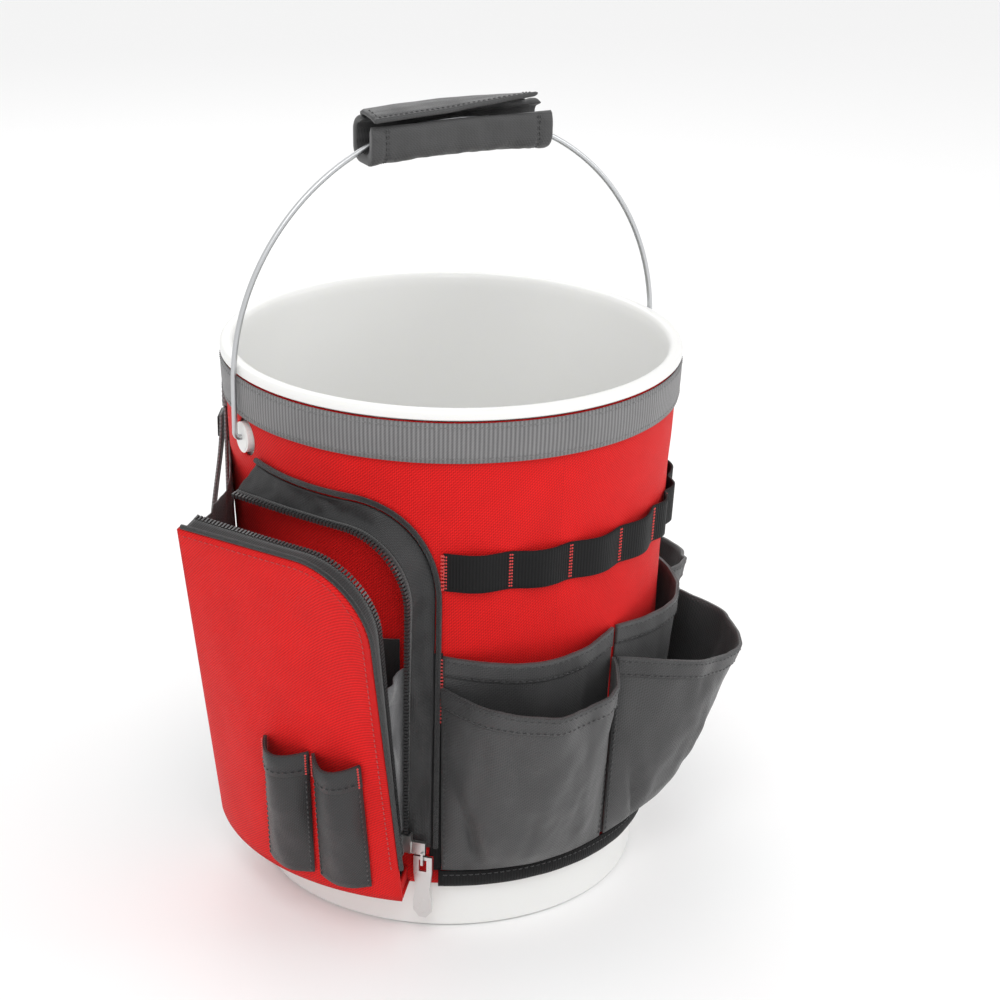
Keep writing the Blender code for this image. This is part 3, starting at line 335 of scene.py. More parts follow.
def woven(name, colour, thread, depth, roughness, hollow_shade=0.55, ribs=0.0, sheen=0.25, shine=0.3,
          creases=0.0):
    """Plain weave in the cloth's own two directions; ribs turns it into ribbed webbing."""
    made, tree, shader = new_shader(name, colour, roughness, Sheen_Weight=sheen, Sheen_Roughness=0.5,
                                    Specular_IOR_Level=shine)
    flat = add_node(tree, "UVMap").outputs["UV"]
    height = weave_height(tree, flat, thread, ribs)
    fade = add_node(tree, "TexNoise", Vector=flat, Scale=38.0, Detail=5.0)
    # The weave's height also sets the colour: darker in the hollows between threads and a little
    # lighter on their crests, as painted shade and painted light. The noise fade beside it is tone that
    # differs at random.
    weave_shade = add_node(tree, "MapRange", Value=height, To_Min=hollow_shade, To_Max=1.12)
    fading = add_node(tree, "MapRange", Value=fade.outputs["Fac"], To_Min=0.86, To_Max=1.1)
    product = add_node(tree, "Math")
    product.operation = "MULTIPLY"
    tree.links.new(weave_shade.outputs["Result"], product.inputs[0])
    tree.links.new(fading.outputs["Result"], product.inputs[1])
    tint = add_node(tree, "Mix", "RGBA", Factor=1.0, A=(*colour, 1.0), B=product.outputs[0])
    tint.blend_type = "MULTIPLY"
    tree.links.new(tint.outputs["Result"], shader.inputs["Base Color"])
    bump = add_node(tree, "Bump", Height=height, Strength=0.8, Distance=depth)
    tree.links.new(bump.outputs["Normal"], shader.inputs["Normal"])
    if creases:
        tree.links.new(soft_folds(tree, flat, creases), bump.inputs["Normal"])
    return made


def run_lengths(points):
    """Length along a line of points, up to each of them."""
    run = [0.0]
    for one, two in zip(points, points[1:]):
        run.append(run[-1] + (two - one).length)
    return run


def woven_faces(bm, grid, place_at, loop):
    """Faces over a grid of vertices, with UVs that are lengths along the cloth in metres."""
    layer = bm.loops.layers.uv.new("cut")
    width = len(grid[0])
    for j in range(len(grid) - 1):
        for k in range(width if loop else width - 1):
            after = (k + 1) % width
            face = bm.faces.new((grid[j][k], grid[j][after], grid[j + 1][after], grid[j + 1][k]))
            face.smooth = True
            corners = ((j, k), (j, k + 1), (j + 1, k + 1), (j + 1, k))
            for corner, place in zip(face.loops, corners):
                corner[layer].uv = place_at(*place)


def cloth_mesh(name, rows, loop):
    bm = bmesh.new()
    grid = [[bm.verts.new(p) for p in row] for row in rows]
    middle = rows[len(rows) // 2]
    across = run_lengths(middle + (middle[:1] if loop else []))
    along = run_lengths([row[len(row) // 2] for row in rows])
    woven_faces(bm, grid, lambda j, k: (across[k], along[j]), loop)
    mesh = bpy.data.meshes.new(name)
    bm.to_mesh(mesh)
    bm.free()
    return mesh


def cloth(name, rows, material, body, replaced=(), *, wall, side=1.0, loop=False):
    """Sheet of cloth of one thickness over a grid of points."""
    piece = add_piece(name, cloth_mesh(name, rows, loop), material, body, replaced)
    thick = piece.modifiers.new("thickness", "SOLIDIFY")
    thick.thickness = wall
    thick.offset = side
    return piece


def crumple(point, size, amount, seed):
    """Soft uneven waves in cloth, the same on every run."""
    return amount * noise.fractal(Vector((point.x, point.y, point.z * 0.7)) / size
                                  + Vector((seed, 0, 0)), 1.0, 2.0, 3)


red = woven("red_nylon_weave", (0.78, 0.011, 0.011), thread=0.0011, depth=0.00022, roughness=0.66,
            sheen=0.02, shine=0.16)
wrap_rows = []
for share in steps(70):
    z = mix(WRAP_FOOT, WRAP_TOP, share)
    row = []
    for k in range(WRAP_SIDES):
        bearing = 360.0 * k / WRAP_SIDES
        place = on_wrap(bearing, z, -WRAP_UNDER)
        pull = arch(share) ** 0.5
        slack = crumple(place, size=0.055, amount=0.0011, seed=3.0) * pull
        row.append(on_wrap(bearing, z, max(slack, -0.0009) - WRAP_UNDER))
    wrap_rows.append(row)
wrap = cloth("wrap_cloth", wrap_rows, red, "body", ["wrap_panel"], loop=True, wall=0.0009)
bm = bmesh.new()
ear_pin(bm, radius=0.0125, sides=40, middle=0.0, long=0.5)
hole = bpy.data.objects.new("ear_hole_tool", smooth_mesh("ear_hole_tool", bm))
bpy.context.scene.collection.objects.link(hole)
cut = wrap.modifiers.new("ear_holes", "BOOLEAN")
cut.object = hole
cut.operation = "DIFFERENCE"
cut.solver = "EXACT"
graph = bpy.context.evaluated_depsgraph_get()
cut_mesh = bpy.data.meshes.new_from_object(wrap.evaluated_get(graph))
wrap.modifiers.clear()
wrap.data = cut_mesh
bpy.data.objects.remove(hole)


# Top band
# Grey ribbed webbing sewn round the top of the wrap along both edges. Its sewn end and its free
# tail meet in the buckle at the back.
STITCH = 0.0042
THREAD = 0.00042


def walk(lengths, distance):
    """Piece of a line that a distance along it falls in, and the share of that piece."""
    piece = 0
    while piece < len(lengths) - 1 and distance > lengths[piece]:
        distance -= lengths[piece]
        piece += 1
    return piece, distance / max(lengths[piece], 1e-9)


def stitches(name, runs, material, body, long=STITCH, thick=THREAD):
    """Rows of thread stitches: each run is a list of (point, normal) along a seam."""
    bm = bmesh.new()
    for run in runs:
        lengths = [(b[0] - a[0]).length for a, b in zip(run, run[1:])]
        total = sum(lengths)
        count = max(1, int(total / long))
        for mark in range(count):
            ends = []
            for share in ((mark + 0.14) / count, (mark + 0.86) / count):
                piece, ratio = walk(lengths, share * total)
                ends.append((run[piece][0].lerp(run[piece + 1][0], ratio),
                             run[piece][1].lerp(run[piece + 1][1], ratio).normalized()))
            (first, out), (second, _) = ends
            side = (second - first).normalized().cross(out) * thick
            crest = out * thick
            tips = [bm.verts.new(first - crest * 0.4), bm.verts.new(second - crest * 0.4)]
            ring = []
            for share in (0.22, 0.78):
                spot = first.lerp(second, share)
                ring.append([bm.verts.new(spot + side), bm.verts.new(spot + crest),
                             bm.verts.new(spot - side), bm.verts.new(spot - crest * 0.8)])
            for k in range(4):
                after = (k + 1) % 4
                bm.faces.new((ring[0][k], ring[0][after], ring[1][after], ring[1][k]))
                bm.faces.new((tips[0], ring[0][after], ring[0][k]))
                bm.faces.new((tips[1], ring[1][k], ring[1][after]))
    return add_piece(name, smooth_mesh(name, bm), material, body)


def fine_grain(tree, shader, patches, depth, strength=1.0):
    """Small uneven relief, as on twisted thread or moulded plastic."""
    places = add_node(tree, "TexCoord")
    grain = add_node(tree, "TexNoise", Vector=places.outputs["Object"], Scale=patches)
    bump = add_node(tree, "Bump", Height=grain.outputs["Fac"], Strength=strength, Distance=depth)
    tree.links.new(bump.outputs["Normal"], shader.inputs["Normal"])


def thread_paint(name, colour):
    made, tree, shader = new_shader(name, colour, 0.6, Sheen_Weight=0.3)
    fine_grain(tree, shader, patches=1600.0, depth=0.0002)
    return made


grey_webbing = woven("grey_ribbed_webbing", (0.225, 0.222, 0.225), thread=0.0009, depth=0.00035,
                     roughness=0.75, hollow_shade=0.45, ribs=0.0027)
grey_thread = thread_paint("grey_thread", (0.16, 0.16, 0.16))
BUCKLE = 152.0
BAND_SEAMS = (0.3389, 0.3592)
BAND_SEAM_STAND = 0.0026
BAND_FREE = 13.6
BAND_RISE = 0.0043
BAND_RISE_RUN = 10.0
band_start = BUCKLE + BAND_FREE - 360.0
band_end = BUCKLE - BAND_FREE


def wrap_strip(low, high, levels, bearings, stand):
    """Grid of points over the wrap; stand takes the bearing, the height and the share of the rise."""
    return [[on_wrap(b, z, stand(b, z, share)) for b in bearings]
            for share, z in zip(steps(levels), spread(low, high, levels))]


def band_lift(bearing):
    """Rise of the sewn end towards the buckle's bar."""
    turned_from = (bearing - BUCKLE) % 360.0
    return BAND_RISE * max(0.0, 1.0 - (turned_from - BAND_FREE) / BAND_RISE_RUN)


def band_stand(bearing, z, share):
    """Slight crown across the band and waves along it."""
    crown = 0.0012 + 0.0004 * arch(share)
    return crown + band_lift(bearing) + 0.0003 * noise.noise(around(bearing, 6.0, z * 30))


band_rows = wrap_strip(low=0.3362, high=0.3618, levels=6, stand=band_stand,
                       bearings=spread(band_start, band_end, 240))
cloth("band_webbing", band_rows, grey_webbing, "body", ["top_band"], wall=0.0011)
runs = [[(on_wrap(b, z, BAND_SEAM_STAND + band_lift(b)), around(b, 1, 0))
         for b in spread(band_start + 1, band_end - 1, 160)] for z in BAND_SEAMS]
stitches("band_stitches", runs, grey_thread, "body")


# Band's free tail and the rear buckle
# Moulded black buckle at the back: the plug's two prongs slide into the socket, and the tail of
# the band runs back from the plug.
TAIL_STAND = 0.0029
tail_rows = wrap_strip(low=0.337, high=0.361, levels=4, stand=lambda b, z, share: TAIL_STAND,
                       bearings=spread(BUCKLE - 26.6, BUCKLE - 10.8, 20))
cloth("band_tail_webbing", tail_rows, grey_webbing, "plug", ["band_tail"], wall=0.0014)
moulded, tree, shader = new_shader("black_moulding", (0.018, 0.018, 0.019), 0.42)
fine_grain(tree, shader, patches=900.0, depth=0.00015, strength=0.5)


def dress_node(node, material, edge, segments):
    """Finish of a solid that is shown as it is, with its edges rounded."""
    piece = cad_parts[node]
    piece.data.materials.clear()
    piece.data.materials.append(material)
    rounding = piece.modifiers.new("rounding", "BEVEL")
    rounding.width = edge
    rounding.segments = segments
    rounding.limit_method = "ANGLE"


for node in ("buckle_socket", "buckle_plug"):
    dress_node(node, moulded, edge=0.0009, segments=3)


# Tool webbing
# Charcoal webbing tacked to the wrap with red bar tacks and slack between them, so that each
# stretch stands off as a loop.
dark_webbing = woven("charcoal_webbing", (0.009, 0.009, 0.0095), thread=0.0009, depth=0.0003,
                     roughness=0.7, hollow_shade=0.5, ribs=0.002, sheen=0.03, shine=0.2)
red_thread = thread_paint("red_thread", (0.72, 0.03, 0.025))
TACKS = (-29.3, -13.0, 3.0, 19.5, 36.0, 47.0, 58.0, 74.0, 90.0, 106.0, 122.0, 138.0, 154.0, 170.0,
         186.0, 202.0, 218.0, 231.0)
WEBBING_LOW = 0.2507
WEBBING_HIGH = 0.2758
WEBBING_SEAT = 0.0005
WEBBING_SLACK = 0.0040
TACK_STAND = 0.0020
TACK_HEIGHTS = (0.2516, 0.2632, 0.2749)
TACK_SPREAD = 0.28
TACK_EDGE = 0.35
TACK_INSET = 0.3


def webbing_stand(bearing, z, share):
    """Stand of the webbing off the wrap, nothing at a tack and most midway."""
    for start, end in zip(TACKS, TACKS[1:]):
        if start <= bearing <= end:
            return WEBBING_SEAT + WEBBING_SLACK * arch((bearing - start) / (end - start)) ** 1.5
    return WEBBING_SEAT


webbing_rows = wrap_strip(low=WEBBING_LOW, high=WEBBING_HIGH, levels=8, stand=webbing_stand,
                          bearings=spread(TACKS[0], TACKS[-1], 400))
cloth("tool_webbing_strip", webbing_rows, dark_webbing, "body", ["tool_webbing"],
      wall=0.0014)
runs = []
for tack in TACKS:
    for shift in (-TACK_SPREAD, TACK_SPREAD):
        bearing = tack + (shift + TACK_EDGE if tack == TACKS[0] else shift)
        bearing = min(bearing, TACKS[-1] - TACK_INSET)
        runs.append([(on_wrap(bearing, z, TACK_STAND), around(bearing, 1, 0)) for z in TACK_HEIGHTS])
stitches("webbing_bar_tacks", runs, red_thread, "body", long=0.0021, thick=0.0006)


# Tall pockets and open pouches
# Dark grey woven nylon. Six flat pockets lie on the wrap, and in front of each an open pouch
# stands out, gathered into the hem binding, with a wide turned hem at its mouth.
grey = woven("grey_nylon_weave", (0.050, 0.050, 0.051), thread=0.0012, depth=0.00022, roughness=0.42,
             sheen=0.1, shine=0.5, creases=0.015)
dark_thread = thread_paint("dark_thread", (0.022, 0.022, 0.023))
SEAMS = (-30.0, 20.0, 72.0, 120.0, 168.0, 214.0, 245.0)
SEAM_HALF = 0.9
POUCHES = (("front", 0.184, 0.046, 0.003), ("right", 0.183, 0.057, 0.012),
           ("rear_right", 0.186, 0.052, 0.009), ("rear", 0.184, 0.044, 0.006),
           ("rear_left", 0.184, 0.044, 0.006), ("left", 0.184, 0.026, 0.003))
POUCH_FOOT = 0.0494
POUCH_SEAT = 0.0031
POUCH_SLACK = 0.0042
TALL_TOP = 0.205
TALL_DEPTH = 0.013
TALL_SEAT = 0.0007
TALL_SLACK = 0.0014
TALL_SAG = 0.002
POUCH_WALL = 0.0013
HEM_TALL = 0.0135
HEM_SEAMS = ((0, 0.35), (3, 0.2))
COLUMNS = 64
ROWS = 48


def pouch_fold(place, share, rise, slack, seed):
    """Waves, gathers at the foot and one slanting tuck, less at the sewn edges."""
    edge = min(1.0, 5.0 * min(share, 1.0 - share)) * min(1.0, 4.0 * rise)
    hang = Vector((place.x, place.y, place.z * 0.35))
    waves = (crumple(hang, size=0.034, amount=slack, seed=seed)
             + crumple(place, size=0.016, amount=slack * 0.25, seed=seed + 9.0))
    gather = slack * 0.9 * math.sin(23.0 * share + seed) * math.exp(-5.0 * rise)
    tuck_line = share - mix(0.22, 0.03, rise * 1.6)
    tuck = slack * 2.6 * max(0.0, 1.0 - 1.7 * rise) * (
        0.6 * math.exp(-((tuck_line - 0.05) / 0.05) ** 2) - math.exp(-(tuck_line / 0.028) ** 2))
    return (waves + gather) * edge + tuck * min(1.0, 8.0 * rise) * edge


def pouch_row(start, end, top, deep, seat, slack, sag, seed, rise):
    """Points across a pocket at a share of its height."""
    row = []
    for share in steps(COLUMNS):
        z = mix(POUCH_FOOT, top - sag * arch(share) ** 2, rise)
        bearing = mix(start, end, share)
        swell = deep * arch(share) * max(rise, 0.0) ** 0.55
        fold = pouch_fold(on_wrap(bearing, z, seat + swell), share, rise, slack, seed)
        row.append(on_wrap(bearing, z, seat + max(swell + fold, 0.0)))
    return row


def outward_of(grid, j, k):
    """Direction out of the cloth at one point of its grid."""
    rise_way = grid[min(j + 1, len(grid) - 1)][k] - grid[max(j - 1, 0)][k]
    side_way = grid[j][min(k + 1, len(grid[0]) - 1)] - grid[j][max(k - 1, 0)]
    return side_way.cross(rise_way).normalized()


def off_cloth(grid, j, k, stand):
    """Point that stands off the cloth, with the direction out of it."""
    outward = outward_of(grid, j, k)
    return grid[j][k] + outward * stand, outward


def hem_seam(hem, j, share, columns):
    """Row of stitches along a hem, at a share of the way from one row of points to the next."""
    outward = [(k, outward_of(hem, j, k)) for k in columns]
    return [(hem[j][k].lerp(hem[j + 1][k], share) + out * 0.001, out) for k, out in outward]


seam_runs = []
for index, (name, mouth, depth, mouth_sag) in enumerate(POUCHES):
    start, end = SEAMS[index] + SEAM_HALF, SEAMS[index + 1] - SEAM_HALF
    for kind, top, deep, seat, slack, sag in (
            ("tall_pocket", TALL_TOP, TALL_DEPTH, TALL_SEAT, TALL_SLACK, TALL_SAG),
            ("pouch", mouth, depth, POUCH_SEAT, POUCH_SLACK, mouth_sag)):
        node = kind + "_" + name
        pocket = (start, end, top, deep, seat, slack, sag, 2.7 * index + seat * 900)
        grid = [pouch_row(*pocket, (row / ROWS) ** 1.4) for row in range(ROWS + 1)]
        piece = cloth(node + "_cloth", grid, grey, "body", [node], wall=POUCH_WALL)
        width = sum((b - a).length for a, b in zip(grid[ROWS // 2], grid[ROWS // 2][1:]))
        hem_foot = 1.0 - HEM_TALL / (top - POUCH_FOOT)
        turned = [pouch_row(*pocket, mix(hem_foot, 1.0, share)) for share in steps(4)]
        hem = [[off_cloth(turned, j, k, POUCH_WALL)[0] for k in range(COLUMNS + 1)]
               for j in range(len(turned))]
        cloth(node + "_hem", hem, grey, "body", wall=0.0009)
        seam_runs += [hem_seam(hem, j, share, range(1, COLUMNS)) for j, share in HEM_SEAMS]
        if kind == "pouch":
            seam_runs += [[off_cloth(grid, j, k, stand=0.0015) for j in range(2, ROWS - 3)]
                          for k in (1, COLUMNS - 1)]
stitches("pouch_stitches", seam_runs, dark_thread, "body")


# Front seam tape
# Narrow dark tape folded over the edge of the front pocket and pouch, beside the zip. Red bar
# tacks hold it at the two mouths and at the end of the webbing.
SEAM_TAPE = (-32.4, -29.3)
SEAM_TACK = -29.6
SEAM_TACK_STAND = 0.0024
SEAM_TACK_SHIFTS = (-0.2, 0.25)
SEAM_TACK_SPANS = ((0.157, 0.176), (0.182, 0.204), (WEBBING_LOW, WEBBING_HIGH))
seam_rows = [[on_wrap(mix(*SEAM_TAPE, s), z, 0.0004 + 0.0006 * arch(s)) for s in steps(6)]
             for z in spread(0.047, 0.207, 40)]
cloth("seam_tape", seam_rows, dark_webbing, "body", wall=0.0006)
tack_runs = []
for low, high in SEAM_TACK_SPANS:
    for shift in SEAM_TACK_SHIFTS:
        tack_runs.append([(on_wrap(SEAM_TACK + shift, z, SEAM_TACK_STAND), around(SEAM_TACK, 1, 0))
                          for z in (low, (low + high) / 2, high)])
stitches("seam_bar_tacks", tack_runs, red_thread, "body", long=0.0024, thick=0.0006)


# Hem binding
# Dark tape folded over the raw lower edge of the pockets and pouches, from one side of the zip
# pocket round the back to the other. One row of stitches near its upper edge holds the layers.
BINDING_SEAM = 0.0452
BINDING_SEAM_STAND = 0.0048


def binding_stand(bearing, z, share):
    """Rounded fold of the tape, with waves along it."""
    crown = 0.0004 + 0.0040 * arch(mix(0.12, 0.9, share)) ** 0.6
    return crown + 0.0003 * noise.noise(around(bearing, 9.0, z * 60))


binding_rows = wrap_strip(low=0.0362, high=0.0474, levels=8, stand=binding_stand,
                          bearings=spread(SEAMS[0], SEAMS[-1], 240))
cloth("hem_tape", binding_rows, dark_webbing, "body", ["hem_binding"], wall=0.0008)
runs = [[(on_wrap(b, BINDING_SEAM, BINDING_SEAM_STAND), around(b, 1, 0))
         for b in spread(SEAMS[0] + 1, SEAMS[-1] - 1, 160)]]
stitches("hem_stitches", runs, dark_thread, "body")


# Zip pocket flap
# Red nylon panel, stiffened, that leans out when the zip is undone. Its foot follows the pail and
# its top is straight; black piping edges it and carries its half of the zip.
FLAP_BEARING = -61.0
FLAP_OUT = around(FLAP_BEARING, 1.0, 0.0)
FLAP_SIDE = around(FLAP_BEARING + 90.0, 1.0, 0.0)
FLAP_FOOT = 0.036
FLAP_FOOT_SPAN = (-104.0, -38.0)
FLAP_FOOT_STAND = 0.025
FLAP_TOP = 0.286
FLAP_TOP_SPAN = (-0.0655, 0.072)
FLAP_TOP_STAND = 0.0595
FLAP_TOP_WIDE = 0.1375
FLAP_CORNER = 0.050
ZIP_FOOT = 0.105
TAPE_SIDE = -0.0015
FLAP_TAPE_DEPTHS = (0.0028, 0.006, 0.010, 0.0135)
TOOTH_PITCH = 0.0026
TOOTH_HALF = 0.00075
TOOTH_FACE = -0.0028
TOOTH_BACK = -0.0002
FLAP_SEAM_INSET = 0.0045
FLAP_SEAM_STAND = 0.0003


def flap_point(u, v):
    """Point of the flap's face at shares of its width from the left and of its slant height."""
    foot = on_wrap(mix(*FLAP_FOOT_SPAN, u), FLAP_FOOT, FLAP_FOOT_STAND)
    top = FLAP_OUT * (wrap_outer(FLAP_TOP) + FLAP_TOP_STAND) + FLAP_SIDE * mix(*FLAP_TOP_SPAN, u)
    return foot.lerp(top + Vector((0, 0, FLAP_TOP)), v)


def flap_normal(u, v):
    along = flap_point(u + 0.01, v) - flap_point(u - 0.01, v)
    climb = flap_point(u, v + 0.01) - flap_point(u, v - 0.01)
    return along.cross(climb).normalized()


FLAP_SLANT = (flap_point(1, 1) - flap_point(1, 0)).length


def flap_crest(u):
    """Share of the slant height that the flap reaches, less at its rounded corner."""
    run = FLAP_CORNER - (1.0 - u) * FLAP_TOP_WIDE
    if run <= 0.0:
        return 1.0
    return 1.0 - (FLAP_CORNER - math.sqrt(max(FLAP_CORNER ** 2 - run ** 2, 0.0))) / FLAP_SLANT


corner_start = 1.0 - FLAP_CORNER / FLAP_TOP_WIDE
flap_us = [corner_start * s for s in steps(30)]
flap_us += [mix(corner_start, 1.0, math.sin(math.radians(90 * s))) for s in steps(16)[1:]]
flap_rows = []
for share in steps(44):
    row = []
    for u in flap_us:
        v = flap_crest(u) * share
        place = flap_point(u, v)
        free = min(1.0, 8.0 * v) * min(1.0, 6.0 * (1.0 - share)) * min(1.0, 6.0 * min(u, 1 - u))
        slack = crumple(place, size=0.07, amount=0.0011, seed=21.0)
        row.append(place + flap_normal(u, v) * slack * free)
    flap_rows.append(row)
flap = cloth("flap_cloth", flap_rows, red, "flap", ["flap_panel"], side=-1.0, wall=0.0026)
edge_end = flap_crest(1.0)
zip_line = [(1.0, mix(ZIP_FOOT, edge_end, s)) for s in steps(28)]
zip_line += [(u, flap_crest(u)) for u in reversed(flap_us[1:-1])]
zip_frames = []
for k, (u, v) in enumerate(zip_line):
    before = flap_point(*zip_line[max(k - 1, 0)])
    after = flap_point(*zip_line[min(k + 1, len(zip_line) - 1)])
    normal = flap_normal(u, v)
    outside = (after - before).normalized().cross(normal).normalized()
    zip_frames.append((flap_point(u, v), normal, outside))
black = woven("black_binding", (0.012, 0.012, 0.013), thread=0.0009, depth=0.0002, roughness=0.7)
zip_tape = woven("zip_tape", (0.020, 0.020, 0.021), thread=0.0009, depth=0.0003, roughness=0.7,
                 hollow_shade=0.5, ribs=0.0016)


def zip_point(frame_at, depth, side):
    """Point by the zip: depth behind the flap's face, side out past the flap's edge."""
    return frame_at[0] - frame_at[1] * depth + frame_at[2] * side


piping_line = [zip_point(f, depth=0.0015, side=0.0017) for f in zip_frames]
rod("flap_piping_cord", piping_line, black, "flap", ["flap_piping"], diameter=0.0031)
tape_rows = [[zip_point(f, d, TAPE_SIDE) for f in zip_frames] for d in FLAP_TAPE_DEPTHS]
cloth("flap_zip_tape_cloth", tape_rows, zip_tape, "flap", ["flap_zip_tape"], side=0.0,
      wall=0.0009)
tooth_paint, tree, shader = new_shader("zip_teeth_moulding", (0.045, 0.045, 0.046), 0.3)
uneven_shine(tree, shader, patches=1500.0, low=0.22, high=0.42)


def teeth_mesh(name, near, far, moved):
    """One row of moulded zip teeth on the edge of its tape."""
    bm = bmesh.new()
    lengths = [(b[0] - a[0]).length for a, b in zip(zip_frames, zip_frames[1:])]
    count = int(sum(lengths) / TOOTH_PITCH)
    outline = ((TOOTH_FACE, -1), (TOOTH_BACK, -1), (TOOTH_BACK, 1), (TOOTH_FACE, 1))
    for k in range(count):
        piece, ratio = walk(lengths, sum(lengths) * (k + 0.5) / count)
        a, b = zip_frames[piece], zip_frames[piece + 1]
        spot = tuple(one.lerp(two, ratio) for one, two in zip(a, b))
        run = (b[0] - a[0]).normalized() * TOOTH_HALF
        ends = []
        for depth, narrow in ((near, 1.0), (mix(near, far, 0.55), 0.75), (far, 1.15)):
            ends.append([bm.verts.new(moved @ (zip_point(spot, depth, side) + run * way * narrow))
                         for side, way in outline])
        for first, second in zip(ends, ends[1:]):
            for c in range(4):
                d = (c + 1) % 4
                bm.faces.new((first[c], first[d], second[d], second[c]))
        bm.faces.new(ends[0])
        bm.faces.new(ends[-1])
    mesh = smooth_mesh(name, bm)
    mesh.set_sharp_from_angle(angle=math.radians(40))
    return mesh


row_mesh = teeth_mesh("flap_teeth", near=0.0130, far=0.0168, moved=Matrix())
add_piece("flap_teeth", row_mesh, tooth_paint, "flap", ["flap_zip_teeth"])
dull_red_thread = thread_paint("dull_red_thread", (0.45, 0.02, 0.018))
runs = [[(f[0] + f[1] * FLAP_SEAM_STAND - f[2] * FLAP_SEAM_INSET, f[1]) for f in zip_frames]]
stitches("flap_stitches", runs, dull_red_thread, "flap")


# Pen sleeves
# Two dark grey tubes of nylon sewn on the flap's face, open at the top, with red bar tacks at
# their upper corners.
sleeve_grey = woven("sleeve_weave", (0.026, 0.026, 0.027), thread=0.0011, depth=0.00022, roughness=0.44,
                    sheen=0.06, shine=0.45, creases=0.012)
PEN_SLEEVES = (("pen_sleeve_left", 0.46, 0.67), ("pen_sleeve_right", 0.70, 0.895))
PEN_FOOT = 0.045
PEN_TOP = 0.44
PEN_SWELL = 0.013
PEN_SEAT = 0.0006
PEN_WALL = 0.0013
PEN_COLUMNS = 20
PEN_ROWS = 24
PEN_HEM_ROWS = (20, 22, 24)
tack_runs = []
sleeve_runs = []
for name, left, far in PEN_SLEEVES:
    grid = []
    for share in steps(PEN_ROWS):
        v = mix(PEN_FOOT, PEN_TOP, share)
        line = []
        for across in steps(PEN_COLUMNS):
            u = mix(left, far, across)
            swell = PEN_SWELL * arch(across) * min(1.0, 0.45 + share)
            place = flap_point(u, v)
            swell += crumple(place, size=0.02, amount=0.0011, seed=31.0) * arch(across)
            line.append(place + flap_normal(u, v) * (PEN_SEAT + swell))
        grid.append(line)
    sleeve = cloth(name + "_cloth", grid, sleeve_grey, "flap", [name], wall=PEN_WALL)
    hem = [[off_cloth(grid, j, k, PEN_WALL)[0] for k in range(PEN_COLUMNS + 1)] for j in PEN_HEM_ROWS]
    cloth(name + "_hem", hem, sleeve_grey, "flap", wall=0.0008)
    sleeve_runs.append(hem_seam(hem, 0, share=0.4, columns=range(PEN_COLUMNS + 1)))
    for k in (1, PEN_COLUMNS - 1):
        sleeve_runs.append([off_cloth(grid, j, k, stand=0.0016) for j in range(PEN_HEM_ROWS[0])])
        tack_runs.append([off_cloth(grid, j, k, stand=0.0026) for j in PEN_HEM_ROWS])
stitches("sleeve_stitches", sleeve_runs, dark_thread, "flap")
stitches("sleeve_bar_tacks", tack_runs, red_thread, "flap", long=0.002, thick=0.0007)


# Zip pocket gusset
# Dark grey wall of cloth that stands on the wrap and carries the fixed half of the zip. Black
# piping hides the seam where it is sewn to the wrap.
HINGE_Z = 0.038
HINGE_STAND = 0.020
HINGE = FLAP_OUT * (wrap_outer(HINGE_Z) + HINGE_STAND) + Vector((0, 0, HINGE_Z))
SHUT_TURN = math.radians(-7.0)
SHUT = (Matrix.Translation(HINGE) @ Matrix.Rotation(SHUT_TURN, 4, FLAP_SIDE)
        @ Matrix.Translation(-HINGE))
GUSSET_SEAM = 0.82
GUSSET_SEAM_STAND = 0.0016
BODY_TAPE_DEPTHS = (0.0218, 0.0235, 0.0268)


def onto_wrap(point, stand):
    """The same bearing and height, at a stand off the wrap."""
    flat = Vector((point.x, point.y, 0.0)).normalized()
    return flat * (wrap_outer(point.z) + stand) + Vector((0, 0, point.z))


gusset_rows = []
gusset_edge = [SHUT @ zip_point(f, depth=0.0268, side=-0.0021) for f in zip_frames]
gusset_root = [onto_wrap(SHUT @ zip_point(f, depth=0.0254, side=0.0135), stand=0.0009)
               for f in zip_frames]
for share in steps(14):
    row = []
    for root, edge in zip(gusset_root, gusset_edge):
        place = root.lerp(edge, share)
        off = (edge - root).cross(Vector((0, 0, 1)) + FLAP_SIDE).normalized()
        bow = arch(share)
        folds = (crumple(place, size=0.026, amount=0.0042, seed=41.0)
                 + crumple(place, size=0.010, amount=0.0013, seed=42.0))
        row.append(place + off * folds * bow)
    gusset_rows.append(row)
# The gusset takes the darker sleeve cloth rather than the pouch cloth. The extra darkness is painted
# shade for where it stands back between the flap's edge and the wrap.
gusset = cloth("gusset_cloth", gusset_rows, sleeve_grey, "body", ["zip_gusset"],
               wall=0.0012)
piping_line = [onto_wrap(SHUT @ zip_point(f, depth=0.0254, side=0.0170), stand=0.0022)
               for f in zip_frames]
rod("gusset_piping_cord", piping_line, black, "body", ["gusset_piping"], diameter=0.0036)
tape_rows = [[SHUT @ zip_point(f, d, TAPE_SIDE) for f in zip_frames] for d in BODY_TAPE_DEPTHS]
cloth("body_zip_tape_cloth", tape_rows, zip_tape, "body", ["body_zip_tape"], side=0.0,
      wall=0.0009)
row_mesh = teeth_mesh("body_teeth", near=0.0224, far=0.0191, moved=SHUT)
add_piece("body_teeth", row_mesh, tooth_paint, "body", ["body_zip_teeth"])
run = []
for root, edge, after in zip(gusset_root, gusset_edge, gusset_root[1:]):
    off = (edge - root).cross(after - root).normalized()
    run.append((root.lerp(edge, GUSSET_SEAM) + off * GUSSET_SEAM_STAND, off))
stitches("gusset_stitches", [run], grey_thread, "body")


